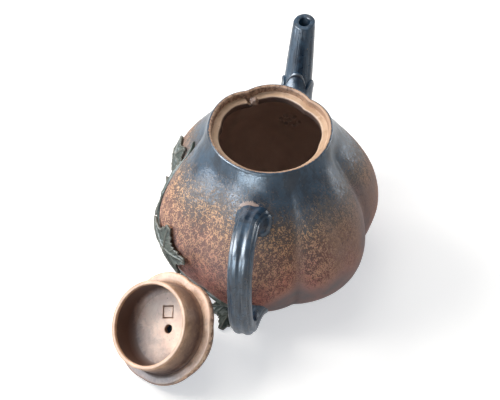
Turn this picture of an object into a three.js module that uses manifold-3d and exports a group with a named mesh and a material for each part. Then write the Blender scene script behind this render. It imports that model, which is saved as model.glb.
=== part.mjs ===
// Lobed stoneware teapot: a six-lobed gourd body with a stalk spout, a ribbed ear handle,
// a vine with leaves in relief, and a loose inlaid lid that lies upside down beside the pot.
// Millimetres. +Z is up, the spout points along +Y, and the origin is the centre of the base.
import * as THREE from "three";
import { mergeVertices } from "three/addons/utils/BufferGeometryUtils.js";
import Module from "manifold-3d";

const wasm = await Module();
wasm.setup();

// Clearances and cuts
const jointGap = 0.3; // between two pieces that are luted together
const cutOverrun = 4; // how far a cutting solid runs past what it cuts

// Body
const bodyHeight = 78; // table to the crest of the lip
const bellyRadius = 49; // at the crest of a lobe
const footRadius = 32; // outer edge of the face that the pot stands on
const baseRadius = 27;
const baseThickness = 3.5;
const wall = 3;
const grooveAngles = [56, 126, 181, 241, 298, 356]; // degrees round from +X
const grooveSoftness = 0.8; // 1 leaves the lobes round, less makes them fuller
const footGroove = 3; // depth of the grooves between the lobes, at four heights
const bellyGroove = 5;
const shoulderGroove = 4.6;
const lipGroove = 1.7;

// Mouth and lid seat
const lipRadius = 25.6;
const lipThickness = 1.4;
const recessDepth = 3.4; // crest of the lip to the seat
const seatThickness = 4;
const mouthRadius = 21.5; // at the crest of a lobe
const nickWidth = 1.8; // locating nick in the seat, under one groove
const nickGroove = 1; // which of the grooves it lies under

// Spout
const spoutBearing = 89.4; // degrees round from +X
const spoutRootHeight = 38;
const spoutRootRadius = 7.2;
const spoutTipRadius = 4.1;
const spoutReach = 25.8; // body's wall to the middle of the spout's mouth
const spoutTipDrop = 5; // crest of the lip to the spout's mouth
const spoutRibs = 9;
const spoutRibDepth = 0.4;
const boreRootRadius = 5.6;
const boreTipRadius = 3;
const collarThickness = 1.2;
const collarEdge = 0.8; // thickness at the lobes' tips
const collarScallops = 4;
const collarLength = 22.5; // body's wall to the tip of the lobe on the mouth's side
const collarTilt = 10; // how much less far the other side reaches
const collarScallop = 8; // depth of the notches between the lobes

// Strainer holes in the wall behind the spout
const strainerHoleRadius = 1;
const strainerPitch = 3.9; // ring of holes round the middle one
const strainerHoles = 6;

// Handle
const handleBearing = 271.2; // degrees, a little out of line with the spout
const handleTopHeight = 61;
const handleLowHeight = 13.5;
const handleReach = 15.7; // belly to the middle of the handle's far side
const handleWidth = 9.8;
const handleThickness = 7;
const handleRootWidth = 14;
const handleRootThickness = 13;
const handleRibs = 8;
const handleRibDepth = 0.6;

// Lid
const lidClearance = 0.5; // round the lid's edge in the recess
const lidEdge = 3.6; // thickness at the edge
const lidCrown = 8; // seat to the top of the dome
const lidDish = 3.4; // hollow in the underside, inside the flange
const flangeClearance = 0.4; // flange in the mouth's grooves, at its root
const flangeTaper = 1;
const flangeDepth = 11.6;
const flangeWall = 1.7;
const ventRadius = 1.9;
const knobBaseRadius = 7;
const knobWaistRadius = 4.1;
const knobTipRadius = 5;
const knobHeight = 10.7;
const knobBore = 1.1; // the vent's way out through the stalk
const knobRibs = 6;
const knobRibDepth = 0.5;
const knobLean = 1; // of the stalk's tip, to one side
const stampWidth = 4.8; // plain square beside the vent
const stampDepth = 0.4;
const stampOffset = 7.2;

// Where the lid lies
const lidDistance = 23.6; // belly to the lid's middle
const lidBearing = 244.8; // degrees round from +X
const lidLean = 230; // the way its underside leans
const lidSpin = 96;

// Vine and leaves
const vineRadius = 1.5;
const vineSunk = 1; // depth of the stem's underside cut away to seat it on the body
const leafLength = 31; // of the largest leaf
const leafThickness = 1.6;
const leafEdge = 0.8; // thickness at the tips
const leafFlare = 1.5; // how far a tip lifts off the body at most
const leafSinusShare = 0.42;
const leafToothShare = 0.12;
const leafBridge = 7; // degrees either way over which a leaf evens out the body's grooves
const footLeafOffset = 0.8; // from the body to the middle of the leaf that lies on the table
const footLeafBearing = 258.8;
const footLeafHeading = 254; // the way its middle lobe points
const footLeafRise = 1.8; // of its middle off the table

// Mesh fineness
const lobeSteps = 12;
const outerSteps = 16;
const innerSteps = 9;
const roundSides = 48;

const { lerp, degToRad, radToDeg, smoothstep, euclideanModulo, clamp } = THREE.MathUtils;
const turn = 2 * Math.PI;
const degreesRound = 360;
const up = new THREE.Vector3(0, 0, 1);

// Materials
const blueSlip = () => new THREE.MeshStandardMaterial({ color: 0x3d4f60, roughness: 0.5, metalness: 0 });
const speckledClay = () => new THREE.MeshStandardMaterial({ color: 0x9a6f55, roughness: 0.6, metalness: 0 });
const bareClay = () => new THREE.MeshStandardMaterial({ color: 0xc39a78, roughness: 0.75, metalness: 0 });
const leafClay = () => new THREE.MeshStandardMaterial({ color: 0x3f4a42, roughness: 0.65, metalness: 0 });

// Solids

// The closed solid of a geometry, with shared vertices merged.
function toSolid(geometry) {
  const bare = geometry.clone();
  bare.deleteAttribute("normal");
  bare.deleteAttribute("uv");
  const merged = mergeVertices(bare);
  return new wasm.Manifold(
    new wasm.Mesh({
      numProp: 3,
      vertProperties: merged.attributes.position.array,
      triVerts: new Uint32Array(merged.index.array),
    }),
  );
}

function toGeometry(solid) {
  const { vertProperties, triVerts } = solid.getMesh();
  const geometry = new THREE.BufferGeometry();
  geometry.setAttribute("position", new THREE.BufferAttribute(vertProperties, 3));
  geometry.setIndex(new THREE.BufferAttribute(triVerts, 1));
  geometry.computeVertexNormals();
  return geometry;
}

// A closed skin over rings that all have the same count of points, each end closed to its middle.
function skinOverRings(rings) {
  const sides = rings[0].length;
  const points = rings.flat();
  const middle = (ring) =>
    ring.reduce((sum, p) => sum.add(p), new THREE.Vector3()).divideScalar(sides);
  points.push(middle(rings[0]), middle(rings.at(-1)));
  const [first, last] = [points.length - 2, points.length - 1];
  const index = [];
  for (let side = 0; side < sides; side++) {
    const next = (side + 1) % sides;
    for (let ring = 0; ring + 1 < rings.length; ring++) {
      const [a, b] = [ring * sides + side, ring * sides + next];
      index.push(a, b, b + sides, a, b + sides, a + sides);
    }
    const end = (rings.length - 1) * sides;
    index.push(first, next, side, last, end + side, end + next);
  }
  const geometry = new THREE.BufferGeometry();
  const numbers = points.flatMap((p) => p.toArray());
  geometry.setAttribute("position", new THREE.Float32BufferAttribute(numbers, 3));
  geometry.setIndex(index);
  return geometry;
}

function cylinderAlong(start, direction, radius, length, sides) {
  const geometry = new THREE.CylinderGeometry(radius, radius, length, sides);
  geometry.translate(0, length / 2, 0);
  const turning = new THREE.Quaternion().setFromUnitVectors(new THREE.Vector3(0, 1, 0), direction);
  geometry.applyQuaternion(turning);
  geometry.translate(start.x, start.y, start.z);
  return toSolid(geometry);
}

// A point this far from the pot's axis, on a bearing in degrees.
function polar(bearing, radius, height) {
  const angle = degToRad(bearing);
  return new THREE.Vector3(radius * Math.cos(angle), radius * Math.sin(angle), height);
}

// Lobes

// How deep a bearing lies in a groove: 1 in its middle, 0 on a lobe's crest.
function inGroove(bearing) {
  const start = grooveAngles[0];
  const round = start + euclideanModulo(bearing - start, degreesRound);
  const lobe = grooveAngles.findLastIndex((angle) => angle <= round);
  const from = grooveAngles[lobe];
  const to = grooveAngles[lobe + 1] ?? start + degreesRound;
  return 1 - Math.pow(Math.sin((Math.PI * (round - from)) / (to - from)), grooveSoftness);
}

// The bearing of a step round the pot, with the same number of steps in each lobe.
function stepBearing(step) {
  const lobe = Math.floor(step / lobeSteps) % grooveAngles.length;
  const to = grooveAngles[lobe + 1] ?? grooveAngles[0] + degreesRound;
  return lerp(grooveAngles[lobe], to, (step % lobeSteps) / lobeSteps);
}

const grooveShares = [
  // share of the pot's height, depth of the grooves there
  [0, footGroove],
  [0.35, bellyGroove],
  [0.68, shoulderGroove],
  [1, lipGroove],
];

function grooveDepth(height) {
  const share = clamp(height / bodyHeight, 0, 1);
  const above = Math.max(1, grooveShares.findIndex(([s]) => s >= share));
  const [from, to] = [grooveShares[above - 1], grooveShares[above]];
  return lerp(from[1], to[1], smoothstep(share, from[0], to[0]));
}

// Turns a closed profile of { r, z, groove } points about the pot's axis, pressed in along the grooves.
function lobedSolid(profile) {
  const outline = [...profile, profile[0]].map((p) => new THREE.Vector2(p.r, p.z));
  const geometry = new THREE.LatheGeometry(outline, lobeSteps * grooveAngles.length);
  const position = geometry.attributes.position;
  for (let i = 0; i < position.count; i++) {
    const point = profile[(i % outline.length) % profile.length];
    const bearing = stepBearing(Math.floor(i / outline.length));
    const pressed = Math.min(point.r, point.groove * inGroove(bearing));
    position.setXYZ(i, ...polar(bearing, point.r - pressed, point.z));
  }
  return toSolid(geometry);
}

// Body

const profileShares = [
  // radius as a share of the belly's, height as a share of the pot's
  [0.8, 0.05],
  [0.93, 0.17],
  [1, 0.35],
  [0.962, 0.52],
  [0.845, 0.685],
  [0.69, 0.83],
  [0.58, 0.93],
];
const outerProfile = new THREE.SplineCurve([
  new THREE.Vector2(footRadius, 0),
  ...profileShares.map(([r, z]) => new THREE.Vector2(r * bellyRadius, z * bodyHeight)),
  new THREE.Vector2(lipRadius, bodyHeight),
]);
const profileLength = outerProfile.getLength();

const seatTop = bodyHeight - recessDepth;
const seatUnder = seatTop - seatThickness;
const recessRadius = lipRadius - lipThickness;

// The outline moved out by lift, or in where lift is negative, between two shares of its length.
function movedProfile(lift, from, to, steps) {
  return Array.from({ length: steps + 1 }, (_, i) => {
    const share = lerp(from, to, i / steps);
    const p = outerProfile.getPointAt(share);
    const t = outerProfile.getTangentAt(share);
    return { r: p.x + t.y * lift, z: p.y - t.x * lift, groove: grooveDepth(p.y) };
  });
}

// Share of the outline's length at which it is this high.
function shareAtHeight(height) {
  let [low, high] = [0, 1];
  for (let i = 0; i < 30; i++) {
    const middle = (low + high) / 2;
    if (outerProfile.getPointAt(middle).y < height) low = middle;
    else high = middle;
  }
  return low;
}

// A point lifted off the body's outer surface, at a share of the outline's length. The lift is square
// to the surface between bearingStep to one side and bearingStep to the other.
function onBody(bearing, share, lift = 0, bearingStep = 1) {
  const at = (b, s) => {
    const p = outerProfile.getPointAt(clamp(s, 0, 1));
    return polar(b, p.x - grooveDepth(p.y) * inGroove(b), p.y);
  };
  const shareStep = 0.01;
  const round = at(bearing + bearingStep, share).sub(at(bearing - bearingStep, share));
  const along = at(bearing, share + shareStep).sub(at(bearing, share - shareStep));
  return at(bearing, share).addScaledVector(round.cross(along).normalize(), lift);
}

// The body as a filled solid, moved out by lift: what the pieces on it are cut back by.
function bodyEnvelope(lift) {
  const side = movedProfile(lift, 0, 1, outerSteps);
  side[0].z = -lift;
  side.at(-1).z = bodyHeight + lift;
  return lobedSolid([
    { r: 0, z: -lift, groove: 0 },
    ...side,
    { r: 0, z: bodyHeight + lift, groove: 0 },
  ]);
}

function bodyShell() {
  const hole = baseRadius + jointGap;
  const innerFrom = shareAtHeight(baseThickness + wall);
  const innerTo = shareAtHeight(seatUnder - wall);
  const shell = lobedSolid([
    { r: hole, z: 0, groove: 0 },
    ...movedProfile(0, 0, 1, outerSteps),
    { r: recessRadius, z: bodyHeight, groove: lipGroove },
    { r: recessRadius, z: seatUnder, groove: lipGroove },
    ...movedProfile(-wall, innerFrom, innerTo, innerSteps).reverse(),
    { r: hole, z: baseThickness, groove: 0 },
  ]);
  return strainerTools().reduce((cut, tool) => cut.subtract(tool), shell);
}

function baseDisc() {
  return cylinderAlong(new THREE.Vector3(), up, baseRadius, baseThickness, roundSides);
}

function lidSeat() {
  const outer = recessRadius - jointGap;
  const ring = lobedSolid([
    { r: mouthRadius, z: seatUnder, groove: lipGroove },
    { r: outer, z: seatUnder, groove: lipGroove },
    { r: outer, z: seatTop, groove: lipGroove },
    { r: mouthRadius, z: seatTop, groove: lipGroove },
  ]);
  const nick = new THREE.BoxGeometry(recessRadius, nickWidth, seatThickness);
  nick.translate((recessRadius + mouthRadius) / 2, 0, seatTop);
  nick.rotateZ(degToRad(grooveAngles[nickGroove]));
  return ring.subtract(toSolid(nick));
}

// Sweeps

// How far into a groove between ribs an angle round a section lies, from 0 on a rib to 1 in a groove.
function betweenRibs(angle, ribs) {
  return 1 - Math.abs(Math.sin((ribs / 2) * angle));
}

// A section carried along a curve that lies in the upright plane on a bearing.
// sectionAt(share, angle) gives how far across that plane and how far out from the curve a point lies.
function sweep(curve, bearing, steps, sides, sectionAt, shareAt = (share) => share) {
  const across = polar(bearing - 90, 1, 0);
  const rings = Array.from({ length: steps + 1 }, (_, step) =>
    Array.from({ length: sides }, (_, side) => {
      const angle = (side / sides) * turn;
      const share = shareAt(step / steps, angle);
      const outwards = new THREE.Vector3().crossVectors(curve.getTangentAt(share), across);
      const [x, n] = sectionAt(share, angle);
      return curve.getPointAt(share).addScaledVector(across, x).addScaledVector(outwards, n);
    }),
  );
  return toSolid(skinOverRings(rings));
}

// Spout

const spoutWall = onBody(spoutBearing, shareAtHeight(spoutRootHeight)).setZ(0).length();
const spoutTipHeight = bodyHeight - spoutTipDrop;
const onSpoutLine = (out, rise) =>
  polar(spoutBearing, spoutWall + out, lerp(spoutRootHeight, spoutTipHeight, rise));
const spoutCurve = new THREE.CubicBezierCurve3(
  onSpoutLine(-2 * wall, 0),
  onSpoutLine(0.75 * spoutReach, 0),
  onSpoutLine(0.55 * spoutReach, 0.6),
  onSpoutLine(spoutReach + spoutTipRadius / 2, 1).setZ(spoutTipHeight + spoutTipRadius),
);
const spoutLength = spoutCurve.getLength();
const spoutSteps = 12;
const spoutSides = 36;
const boreSides = 16;
const strainerSides = 10;

function spoutRadius(share) {
  return lerp(spoutTipRadius, spoutRootRadius, Math.pow(1 - share, 0.6));
}

function spoutOutside(extra) {
  return sweep(spoutCurve, spoutBearing, spoutSteps, spoutSides, (share, angle) => {
    const r = spoutRadius(share) + extra - spoutRibDepth * betweenRibs(angle, spoutRibs);
    return [r * Math.cos(angle), r * Math.sin(angle)];
  });
}

function spout() {
  const bore = sweep(spoutCurve, spoutBearing, spoutSteps, boreSides, (share, angle) => {
    const r = lerp(boreRootRadius, boreTipRadius, share);
    return [r * Math.cos(angle), r * Math.sin(angle)];
  });
  const aboveTip = cylinderAlong(
    onSpoutLine(spoutReach, 1),
    up,
    spoutRootRadius + cutOverrun,
    bodyHeight,
    roundSides,
  );
  return spoutOutside(0).subtract(bore).subtract(aboveTip);
}

// 0 at the tip of a scallop, one of which faces the pot's mouth, and 1 between two.
function betweenScallops(angle) {
  return 1 - Math.abs(Math.cos((collarScallops / 2) * (angle + Math.PI / 2)));
}

// Share of the spout's length that the collar reaches, at an angle round it.
function collarReach(angle) {
  const farSide = (1 + Math.sin(angle)) / 2;
  const reach = collarLength - collarTilt * farSide - collarScallop * betweenScallops(angle);
  return (2 * wall + reach) / spoutLength;
}

function spoutCollar() {
  const sleeve = sweep(
    spoutCurve,
    spoutBearing,
    spoutSteps / 2,
    spoutSides,
    (share, angle) => {
      const thickness = lerp(collarThickness, collarEdge, share / collarReach(angle));
      const r = spoutRadius(share) + thickness;
      return [r * Math.cos(angle), r * Math.sin(angle)];
    },
    (share, angle) => share * collarReach(angle),
  );
  return sleeve.subtract(spoutOutside(jointGap));
}

// What drills the strainer: one hole on the spout's line and a ring round it.
function strainerTools() {
  const along = spoutCurve.getTangentAt(0);
  const across = polar(spoutBearing - 90, 1, 0);
  const upwards = new THREE.Vector3().crossVectors(across, along);
  const middle = spoutCurve.getPointAt(0).addScaledVector(along, -cutOverrun);
  const places = [middle];
  for (let i = 0; i < strainerHoles; i++) {
    const angle = (i / strainerHoles) * turn;
    places.push(
      middle
        .clone()
        .addScaledVector(across, strainerPitch * Math.cos(angle))
        .addScaledVector(upwards, strainerPitch * Math.sin(angle)),
    );
  }
  const length = 2 * (wall + cutOverrun) + wall;
  return places.map((place) => cylinderAlong(place, along, strainerHoleRadius, length, strainerSides));
}

// Handle

const handleTop = onBody(handleBearing, shareAtHeight(handleTopHeight)).setZ(0).length();
const handleLow = onBody(handleBearing, shareAtHeight(handleLowHeight)).setZ(0).length();
const handleShares = [
  // reach as a share of the way out from the top root, height as a share of the way up from the low one
  [0.22, 1.13],
  [0.5, 1.23],
  [0.78, 1.2],
  [0.94, 1.06],
  [1, 0.84],
  [0.97, 0.5],
  [0.85, 0.22],
  [0.63, 0.03],
];
const handleCurve = new THREE.CatmullRomCurve3([
  polar(handleBearing, handleTop - wall, handleTopHeight - wall),
  ...handleShares.map(([out, rise]) =>
    polar(
      handleBearing,
      lerp(handleTop, bellyRadius + handleReach, out),
      lerp(handleLowHeight, handleTopHeight, rise),
    ),
  ),
  polar(handleBearing, handleLow - wall, handleLowHeight),
]);
const handleSteps = 24;
const handleSides = 24;

function handleOutside(extra) {
  return sweep(handleCurve, handleBearing, handleSteps, handleSides, (share, angle) => {
    const atRoot = Math.pow(Math.abs(2 * share - 1), 5);
    const rib = handleRibDepth * betweenRibs(angle + Math.PI / handleRibs, handleRibs);
    const halfWidth = lerp(handleWidth, handleRootWidth, atRoot) / 2 + extra - rib;
    const halfThickness = lerp(handleThickness, handleRootThickness, atRoot) / 2 + extra - rib;
    const boxy = (v) => Math.sign(v) * Math.pow(Math.abs(v), 0.8);
    return [halfWidth * boxy(Math.cos(angle)), halfThickness * boxy(Math.sin(angle))];
  });
}

// Vine and leaves

// The largest part of a solid that may have been cut through.
function largestPart(solid) {
  return solid.decompose().sort((a, b) => b.volume() - a.volume())[0];
}

const vineSteps = 36;
const vineSides = 10;
const vineShares = [
  // bearing in degrees, height as a share of the pot's
  [261, 0.12],
  [250, 0.1],
  [238, 0.1],
  [225, 0.11],
  [213, 0.16],
  [204, 0.26],
  [199, 0.38],
  [197, 0.51],
  [193, 0.63],
  [184, 0.73],
  [176, 0.77],
];

// The vine's stem, grown by extra, before it is cut back to the body.
function stem(extra) {
  const curve = new THREE.CatmullRomCurve3(
    vineShares.map(([bearing, height]) =>
      onBody(bearing, shareAtHeight(height * bodyHeight), jointGap + vineRadius - vineSunk),
    ),
  );
  const round = new THREE.Shape();
  round.absarc(0, 0, vineRadius + extra, 0, turn);
  return toSolid(
    new THREE.ExtrudeGeometry(round, { extrudePath: curve, steps: vineSteps, curveSegments: vineSides / 2 }),
  );
}

const leafSpokes = 40;
const leafRings = 3;
const smallLeafSize = 0.84; // share of the largest leaf's

// A five-lobed, toothed leaf. drape(out, angle, share, lift) places a point that lies this far out from
// the leaf's middle, at an angle round it, at a share of the way to its edge.
function leaf(length, drape) {
  const place = (spoke, share, lift) => {
    const angle = (spoke / leafSpokes) * turn;
    const lobed = 1 - leafSinusShare * Math.abs(Math.sin(2.5 * angle));
    const toothed = spoke % 2 ? 1 - leafToothShare : 1;
    return drape((length / 2) * lobed * toothed * share, angle, share, lift);
  };
  const [under, top] = [[], []];
  for (let number = 1; number <= leafRings; number++) {
    const share = number / leafRings;
    const spokes = Array.from({ length: leafSpokes }, (_, spoke) => spoke);
    const thickness = lerp(leafThickness, leafEdge, share);
    under.push(spokes.map((spoke) => place(spoke, share, 0)));
    top.push(spokes.map((spoke) => place(spoke, share, thickness)));
  }
  return toSolid(skinOverRings([...top, ...under.reverse()]));
}

// A leaf that lies on the body. Its length runs the way that heading says: 0 is up, 90 is round the pot.
function bodyLeaf({ bearing, height, size, heading, flare }) {
  const middle = shareAtHeight(height * bodyHeight);
  const middleRadius = onBody(bearing, middle).setZ(0).length();
  return leaf(size * leafLength, (out, angle, share, lift) => {
    const turned = angle + degToRad(heading);
    const round = radToDeg((out * Math.sin(turned)) / middleRadius);
    const rise = (out * Math.cos(turned)) / profileLength;
    const raised = jointGap + lift + flare * leafFlare * Math.pow(share, 2);
    return onBody(bearing + round, middle + rise, raised, leafBridge);
  });
}

const leafShares = {
  // height as a share of the pot's, size and flare as shares of the largest leaf's
  leaf_shoulder: { bearing: 174, height: 0.6, size: smallLeafSize, heading: 302, flare: 0.4 },
  leaf_flank: { bearing: 219, height: 0.36, size: 1, heading: 150, flare: 0.5 },
  leaf_side: { bearing: 183, height: 0.32, size: 0.74, heading: 220, flare: 0.9 },
};

// The leaf at the foot, which lies on the table under the handle's low end.
function footLeaf() {
  const height = footLeafRise + leafThickness;
  const atBody = onBody(footLeafBearing, shareAtHeight(height)).setZ(0).length();
  const middle = polar(footLeafBearing, atBody + footLeafOffset, jointGap);
  return leaf(smallLeafSize * leafLength, (out, angle, share, lift) => {
    const rise = footLeafRise * (1 - Math.pow(share, 2));
    return polar(footLeafHeading - radToDeg(angle), out, lift + rise).add(middle);
  });
}

// Lid, in its own frame: the middle of its seat at the origin and the knob up

const lidRadius = recessRadius - lidClearance;
const flangeRadius = mouthRadius - lipGroove - flangeClearance;

function lidDisc() {
  const domeShares = [
    // radius as a share of the lid's, rise as a share of the dome's
    [1, 0],
    [0.9, 0.3],
    [0.72, 0.62],
    [0.5, 0.87],
    [0.32, 0.97],
  ];
  const dome = domeShares.map(([r, rise]) => ({
    r: r * lidRadius,
    z: lerp(lidEdge, lidCrown, rise),
    groove: lipGroove * smoothstep(r * lidRadius, knobBaseRadius, lidRadius),
  }));
  const dishRadius = flangeRadius - flangeWall;
  const dishShares = [
    [0.5, 0.9],
    [0.8, 0.6],
    [0.95, 0.25],
    [1, 0],
  ];
  const disc = lobedSolid([
    { r: ventRadius, z: lidDish, groove: 0 },
    ...dishShares.map(([r, depth]) => ({ r: r * dishRadius, z: depth * lidDish, groove: 0 })),
    { r: lidRadius, z: 0, groove: lipGroove },
    ...dome,
    { r: ventRadius, z: lidCrown, groove: 0 },
  ]);
  const stamp = new THREE.BoxGeometry(stampWidth, stampWidth, 2 * stampDepth);
  stamp.translate(0, stampOffset, lidDish);
  return disc.subtract(toSolid(stamp));
}

// Turns a closed outline of [radius, height] pairs about the Z axis.
function turned(outline, sides) {
  const points = [...outline, outline[0]].map(([r, z]) => new THREE.Vector2(r, z));
  return new THREE.LatheGeometry(points, sides).rotateX(Math.PI / 2);
}

function lidFlange() {
  const rim = flangeRadius - flangeTaper;
  return toSolid(
    turned(
      [
        [flangeRadius - flangeWall, -jointGap],
        [rim - flangeWall, -flangeDepth],
        [rim, -flangeDepth],
        [flangeRadius, -jointGap],
      ],
      roundSides,
    ),
  );
}

function lidKnob() {
  const knobShares = [
    // share of the knob's height, radius
    [0, knobBaseRadius],
    [0.14, lerp(knobWaistRadius, knobBaseRadius, 0.35)],
    [0.4, knobWaistRadius],
    [0.8, lerp(knobWaistRadius, knobTipRadius, 0.6)],
    [1, knobTipRadius],
  ];
  const side = knobShares.map(([share, r]) => [r, share * knobHeight]);
  const geometry = turned([[knobBore, 0], ...side, [knobBore, knobHeight]], roundSides / 2);
  const position = geometry.attributes.position;
  for (let i = 0; i < position.count; i++) {
    const [x, y, z] = [position.getX(i), position.getY(i), position.getZ(i)];
    const radius = Math.hypot(x, y);
    const onSide = smoothstep(radius, knobBore, knobWaistRadius);
    const ribbed = 1 - (onSide * knobRibDepth * betweenRibs(Math.atan2(y, x), knobRibs)) / radius;
    const lean = knobLean * Math.pow(z / knobHeight, 2);
    position.setXYZ(i, x * ribbed + lean, y * ribbed, z + lidCrown + jointGap);
  }
  return toSolid(geometry);
}

function corners(solid) {
  const { vertProperties } = solid.getMesh();
  return Array.from({ length: vertProperties.length / 3 }, (_, i) =>
    new THREE.Vector3().fromArray(vertProperties, 3 * i),
  );
}

// A group that lays the lid on the table upside down, tilted until knob and edge both touch.
function layLid(disc, knob) {
  const axis = polar(lidLean + 90, 1, 0);
  const spin = new THREE.Quaternion().setFromAxisAngle(up, degToRad(lidSpin));
  const turning = (tilt) =>
    new THREE.Quaternion().setFromAxisAngle(axis, Math.PI + tilt).multiply(spin);
  const lowest = (points, tilt) =>
    Math.min(...points.map((p) => p.clone().applyQuaternion(turning(tilt)).z));
  const [discCorners, knobCorners] = [corners(disc), corners(knob)];
  let [low, high] = [0, Math.PI / 2];
  for (let i = 0; i < 40; i++) {
    const tilt = (low + high) / 2;
    if (lowest(knobCorners, tilt) < lowest(discCorners, tilt)) low = tilt;
    else high = tilt;
  }
  const group = new THREE.Group();
  const drop = lowest([...discCorners, ...knobCorners], low);
  group.quaternion.copy(turning(low));
  group.position.copy(polar(lidBearing, bellyRadius + lidDistance, -drop));
  return group;
}

// Assembly

function piece(name, solid, material) {
  const mesh = new THREE.Mesh(toGeometry(solid), material);
  mesh.name = name;
  return mesh;
}

const teapot = new THREE.Group();
const nearBody = bodyEnvelope(jointGap);
const nearHandle = handleOutside(jointGap);
const nearVine = stem(jointGap);
teapot.add(
  piece("body_shell", bodyShell(), speckledClay()),
  piece("base_disc", baseDisc(), speckledClay()),
  piece("lid_seat", lidSeat(), bareClay()),
  piece("spout", spout().subtract(nearBody), blueSlip()),
  piece("spout_collar", spoutCollar().subtract(nearBody), blueSlip()),
  piece("handle", handleOutside(0).subtract(nearBody), blueSlip()),
  piece("vine", stem(0).subtract(nearBody).subtract(nearHandle), leafClay()),
);
for (const [name, settings] of Object.entries(leafShares)) {
  const cut = bodyLeaf(settings).subtract(nearHandle).subtract(nearVine);
  teapot.add(piece(name, largestPart(cut), leafClay()));
}
teapot.add(piece("leaf_foot", largestPart(footLeaf().subtract(nearBody)), leafClay()));

const [disc, knob] = [lidDisc(), lidKnob()];
const lid = layLid(disc, knob);
lid.add(
  piece("lid_disc", disc, blueSlip()),
  piece("lid_flange", lidFlange(), bareClay()),
  piece("lid_knob", knob, blueSlip()),
);
teapot.add(lid);

export default teapot;
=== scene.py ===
import math
import random

import bmesh
import bpy
from mathutils import Matrix, Vector, noise


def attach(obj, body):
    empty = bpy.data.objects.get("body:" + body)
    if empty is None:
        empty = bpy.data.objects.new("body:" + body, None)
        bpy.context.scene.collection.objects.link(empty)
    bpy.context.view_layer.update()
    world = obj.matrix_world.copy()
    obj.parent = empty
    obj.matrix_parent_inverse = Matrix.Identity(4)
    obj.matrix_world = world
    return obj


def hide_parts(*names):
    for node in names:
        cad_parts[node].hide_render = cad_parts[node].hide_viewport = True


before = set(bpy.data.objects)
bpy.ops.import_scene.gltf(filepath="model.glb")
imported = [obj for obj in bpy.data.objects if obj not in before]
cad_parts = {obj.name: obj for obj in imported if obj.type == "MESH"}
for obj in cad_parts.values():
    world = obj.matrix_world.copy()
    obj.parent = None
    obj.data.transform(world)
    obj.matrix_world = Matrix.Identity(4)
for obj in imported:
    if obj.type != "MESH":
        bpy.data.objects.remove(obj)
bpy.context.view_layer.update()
print("frame loaded")

mm = 0.001
mergeGap = 0.002  # millimetres under which two corners become one


# meshes

def sheet(around, along, place, ridge=None):
    # a grid over u and v from 0 to 1, each corner moved to place(u, v), its ridge kept for the finish
    bm = bmesh.new()
    bmesh.ops.create_grid(bm, x_segments=around, y_segments=along, size=0.5)
    layer = bm.verts.layers.float.new("ridge")
    for vert in bm.verts:
        u, v = round(vert.co.x + 0.5, 6), round(vert.co.y + 0.5, 6)
        vert.co = place(u, v)
        vert[layer] = ridge(u, v) if ridge else 0
    bmesh.ops.remove_doubles(bm, verts=bm.verts, dist=mergeGap)
    bmesh.ops.dissolve_degenerate(bm, edges=bm.edges, dist=mergeGap / 4)
    return bm


def toMesh(name, bm, materialIndex=None):
    # a smooth mesh in metres from a bmesh in millimetres, with one material index if that is given
    bmesh.ops.scale(bm, vec=(mm, mm, mm), verts=bm.verts)
    bmesh.ops.recalc_face_normals(bm, faces=bm.faces)
    for face in bm.faces:
        face.smooth = True
        if materialIndex is not None:
            face.material_index = materialIndex
    mesh = bpy.data.meshes.new(name)
    bm.to_mesh(mesh)
    bm.free()
    return mesh


def makePiece(name, bm, materials, body, replaces):
    mesh = toMesh(name, bm)
    for material in materials:
        mesh.materials.append(material)
    piece = bpy.data.objects.new(name, mesh)
    bpy.context.scene.collection.objects.link(piece)
    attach(piece, body)
    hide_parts(*replaces)
    return piece


def addTo(piece, bm, materialIndex):
    # puts the solid in bm into a piece's own mesh
    extra = toMesh("extra", bm, materialIndex)
    whole = bmesh.new()
    whole.from_mesh(piece.data)
    whole.from_mesh(extra)
    whole.to_mesh(piece.data)
    whole.free()
    bpy.data.meshes.remove(extra)


def cutWith(piece, bm, materialIndex):
    # takes the solid in bm out of a piece for good
    mesh = toMesh("cutter", bm, materialIndex)
    cutter = bpy.data.objects.new("cutter", mesh)
    bpy.context.scene.collection.objects.link(cutter)
    boolean = piece.modifiers.new("cut", "BOOLEAN")
    boolean.operation = "DIFFERENCE"
    boolean.solver = "EXACT"
    boolean.object = cutter
    bpy.context.view_layer.update()
    depsgraph = bpy.context.evaluated_depsgraph_get()
    result = bpy.data.meshes.new_from_object(piece.evaluated_get(depsgraph))
    piece.modifiers.remove(boolean)
    old = piece.data
    name = old.name
    piece.data = result
    bpy.data.meshes.remove(old)
    result.name = name
    bpy.data.objects.remove(cutter)
    bpy.data.meshes.remove(mesh)


# small sums

def mix(a, b, share):
    return a + (b - a) * share


def part(value, low, high):
    # how far value is on the way from low to high
    return (value - low) / (high - low)


def ease(value, low, high):
    # the same, kept within 0 and 1 and slow at both ends
    share = min(1, max(0, part(value, low, high)))
    return share * share * (3 - 2 * share)


def readTable(table, value):
    # the second number of (place, number) pairs, eased from pair to pair
    for (low, before), (high, after) in zip(table, table[1:]):
        if value <= high:
            return mix(before, after, ease(value, low, high))


def polar(bearing, radius, height):
    angle = math.radians(bearing)
    return Vector((radius * math.cos(angle), radius * math.sin(angle), height))


def wobble(point, size, seed=0):
    # soft noise from -1 to 1 with features about this size in millimetres
    return noise.noise(point / size + Vector((seed, 2.3 * seed, 4.1 * seed)))


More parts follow.
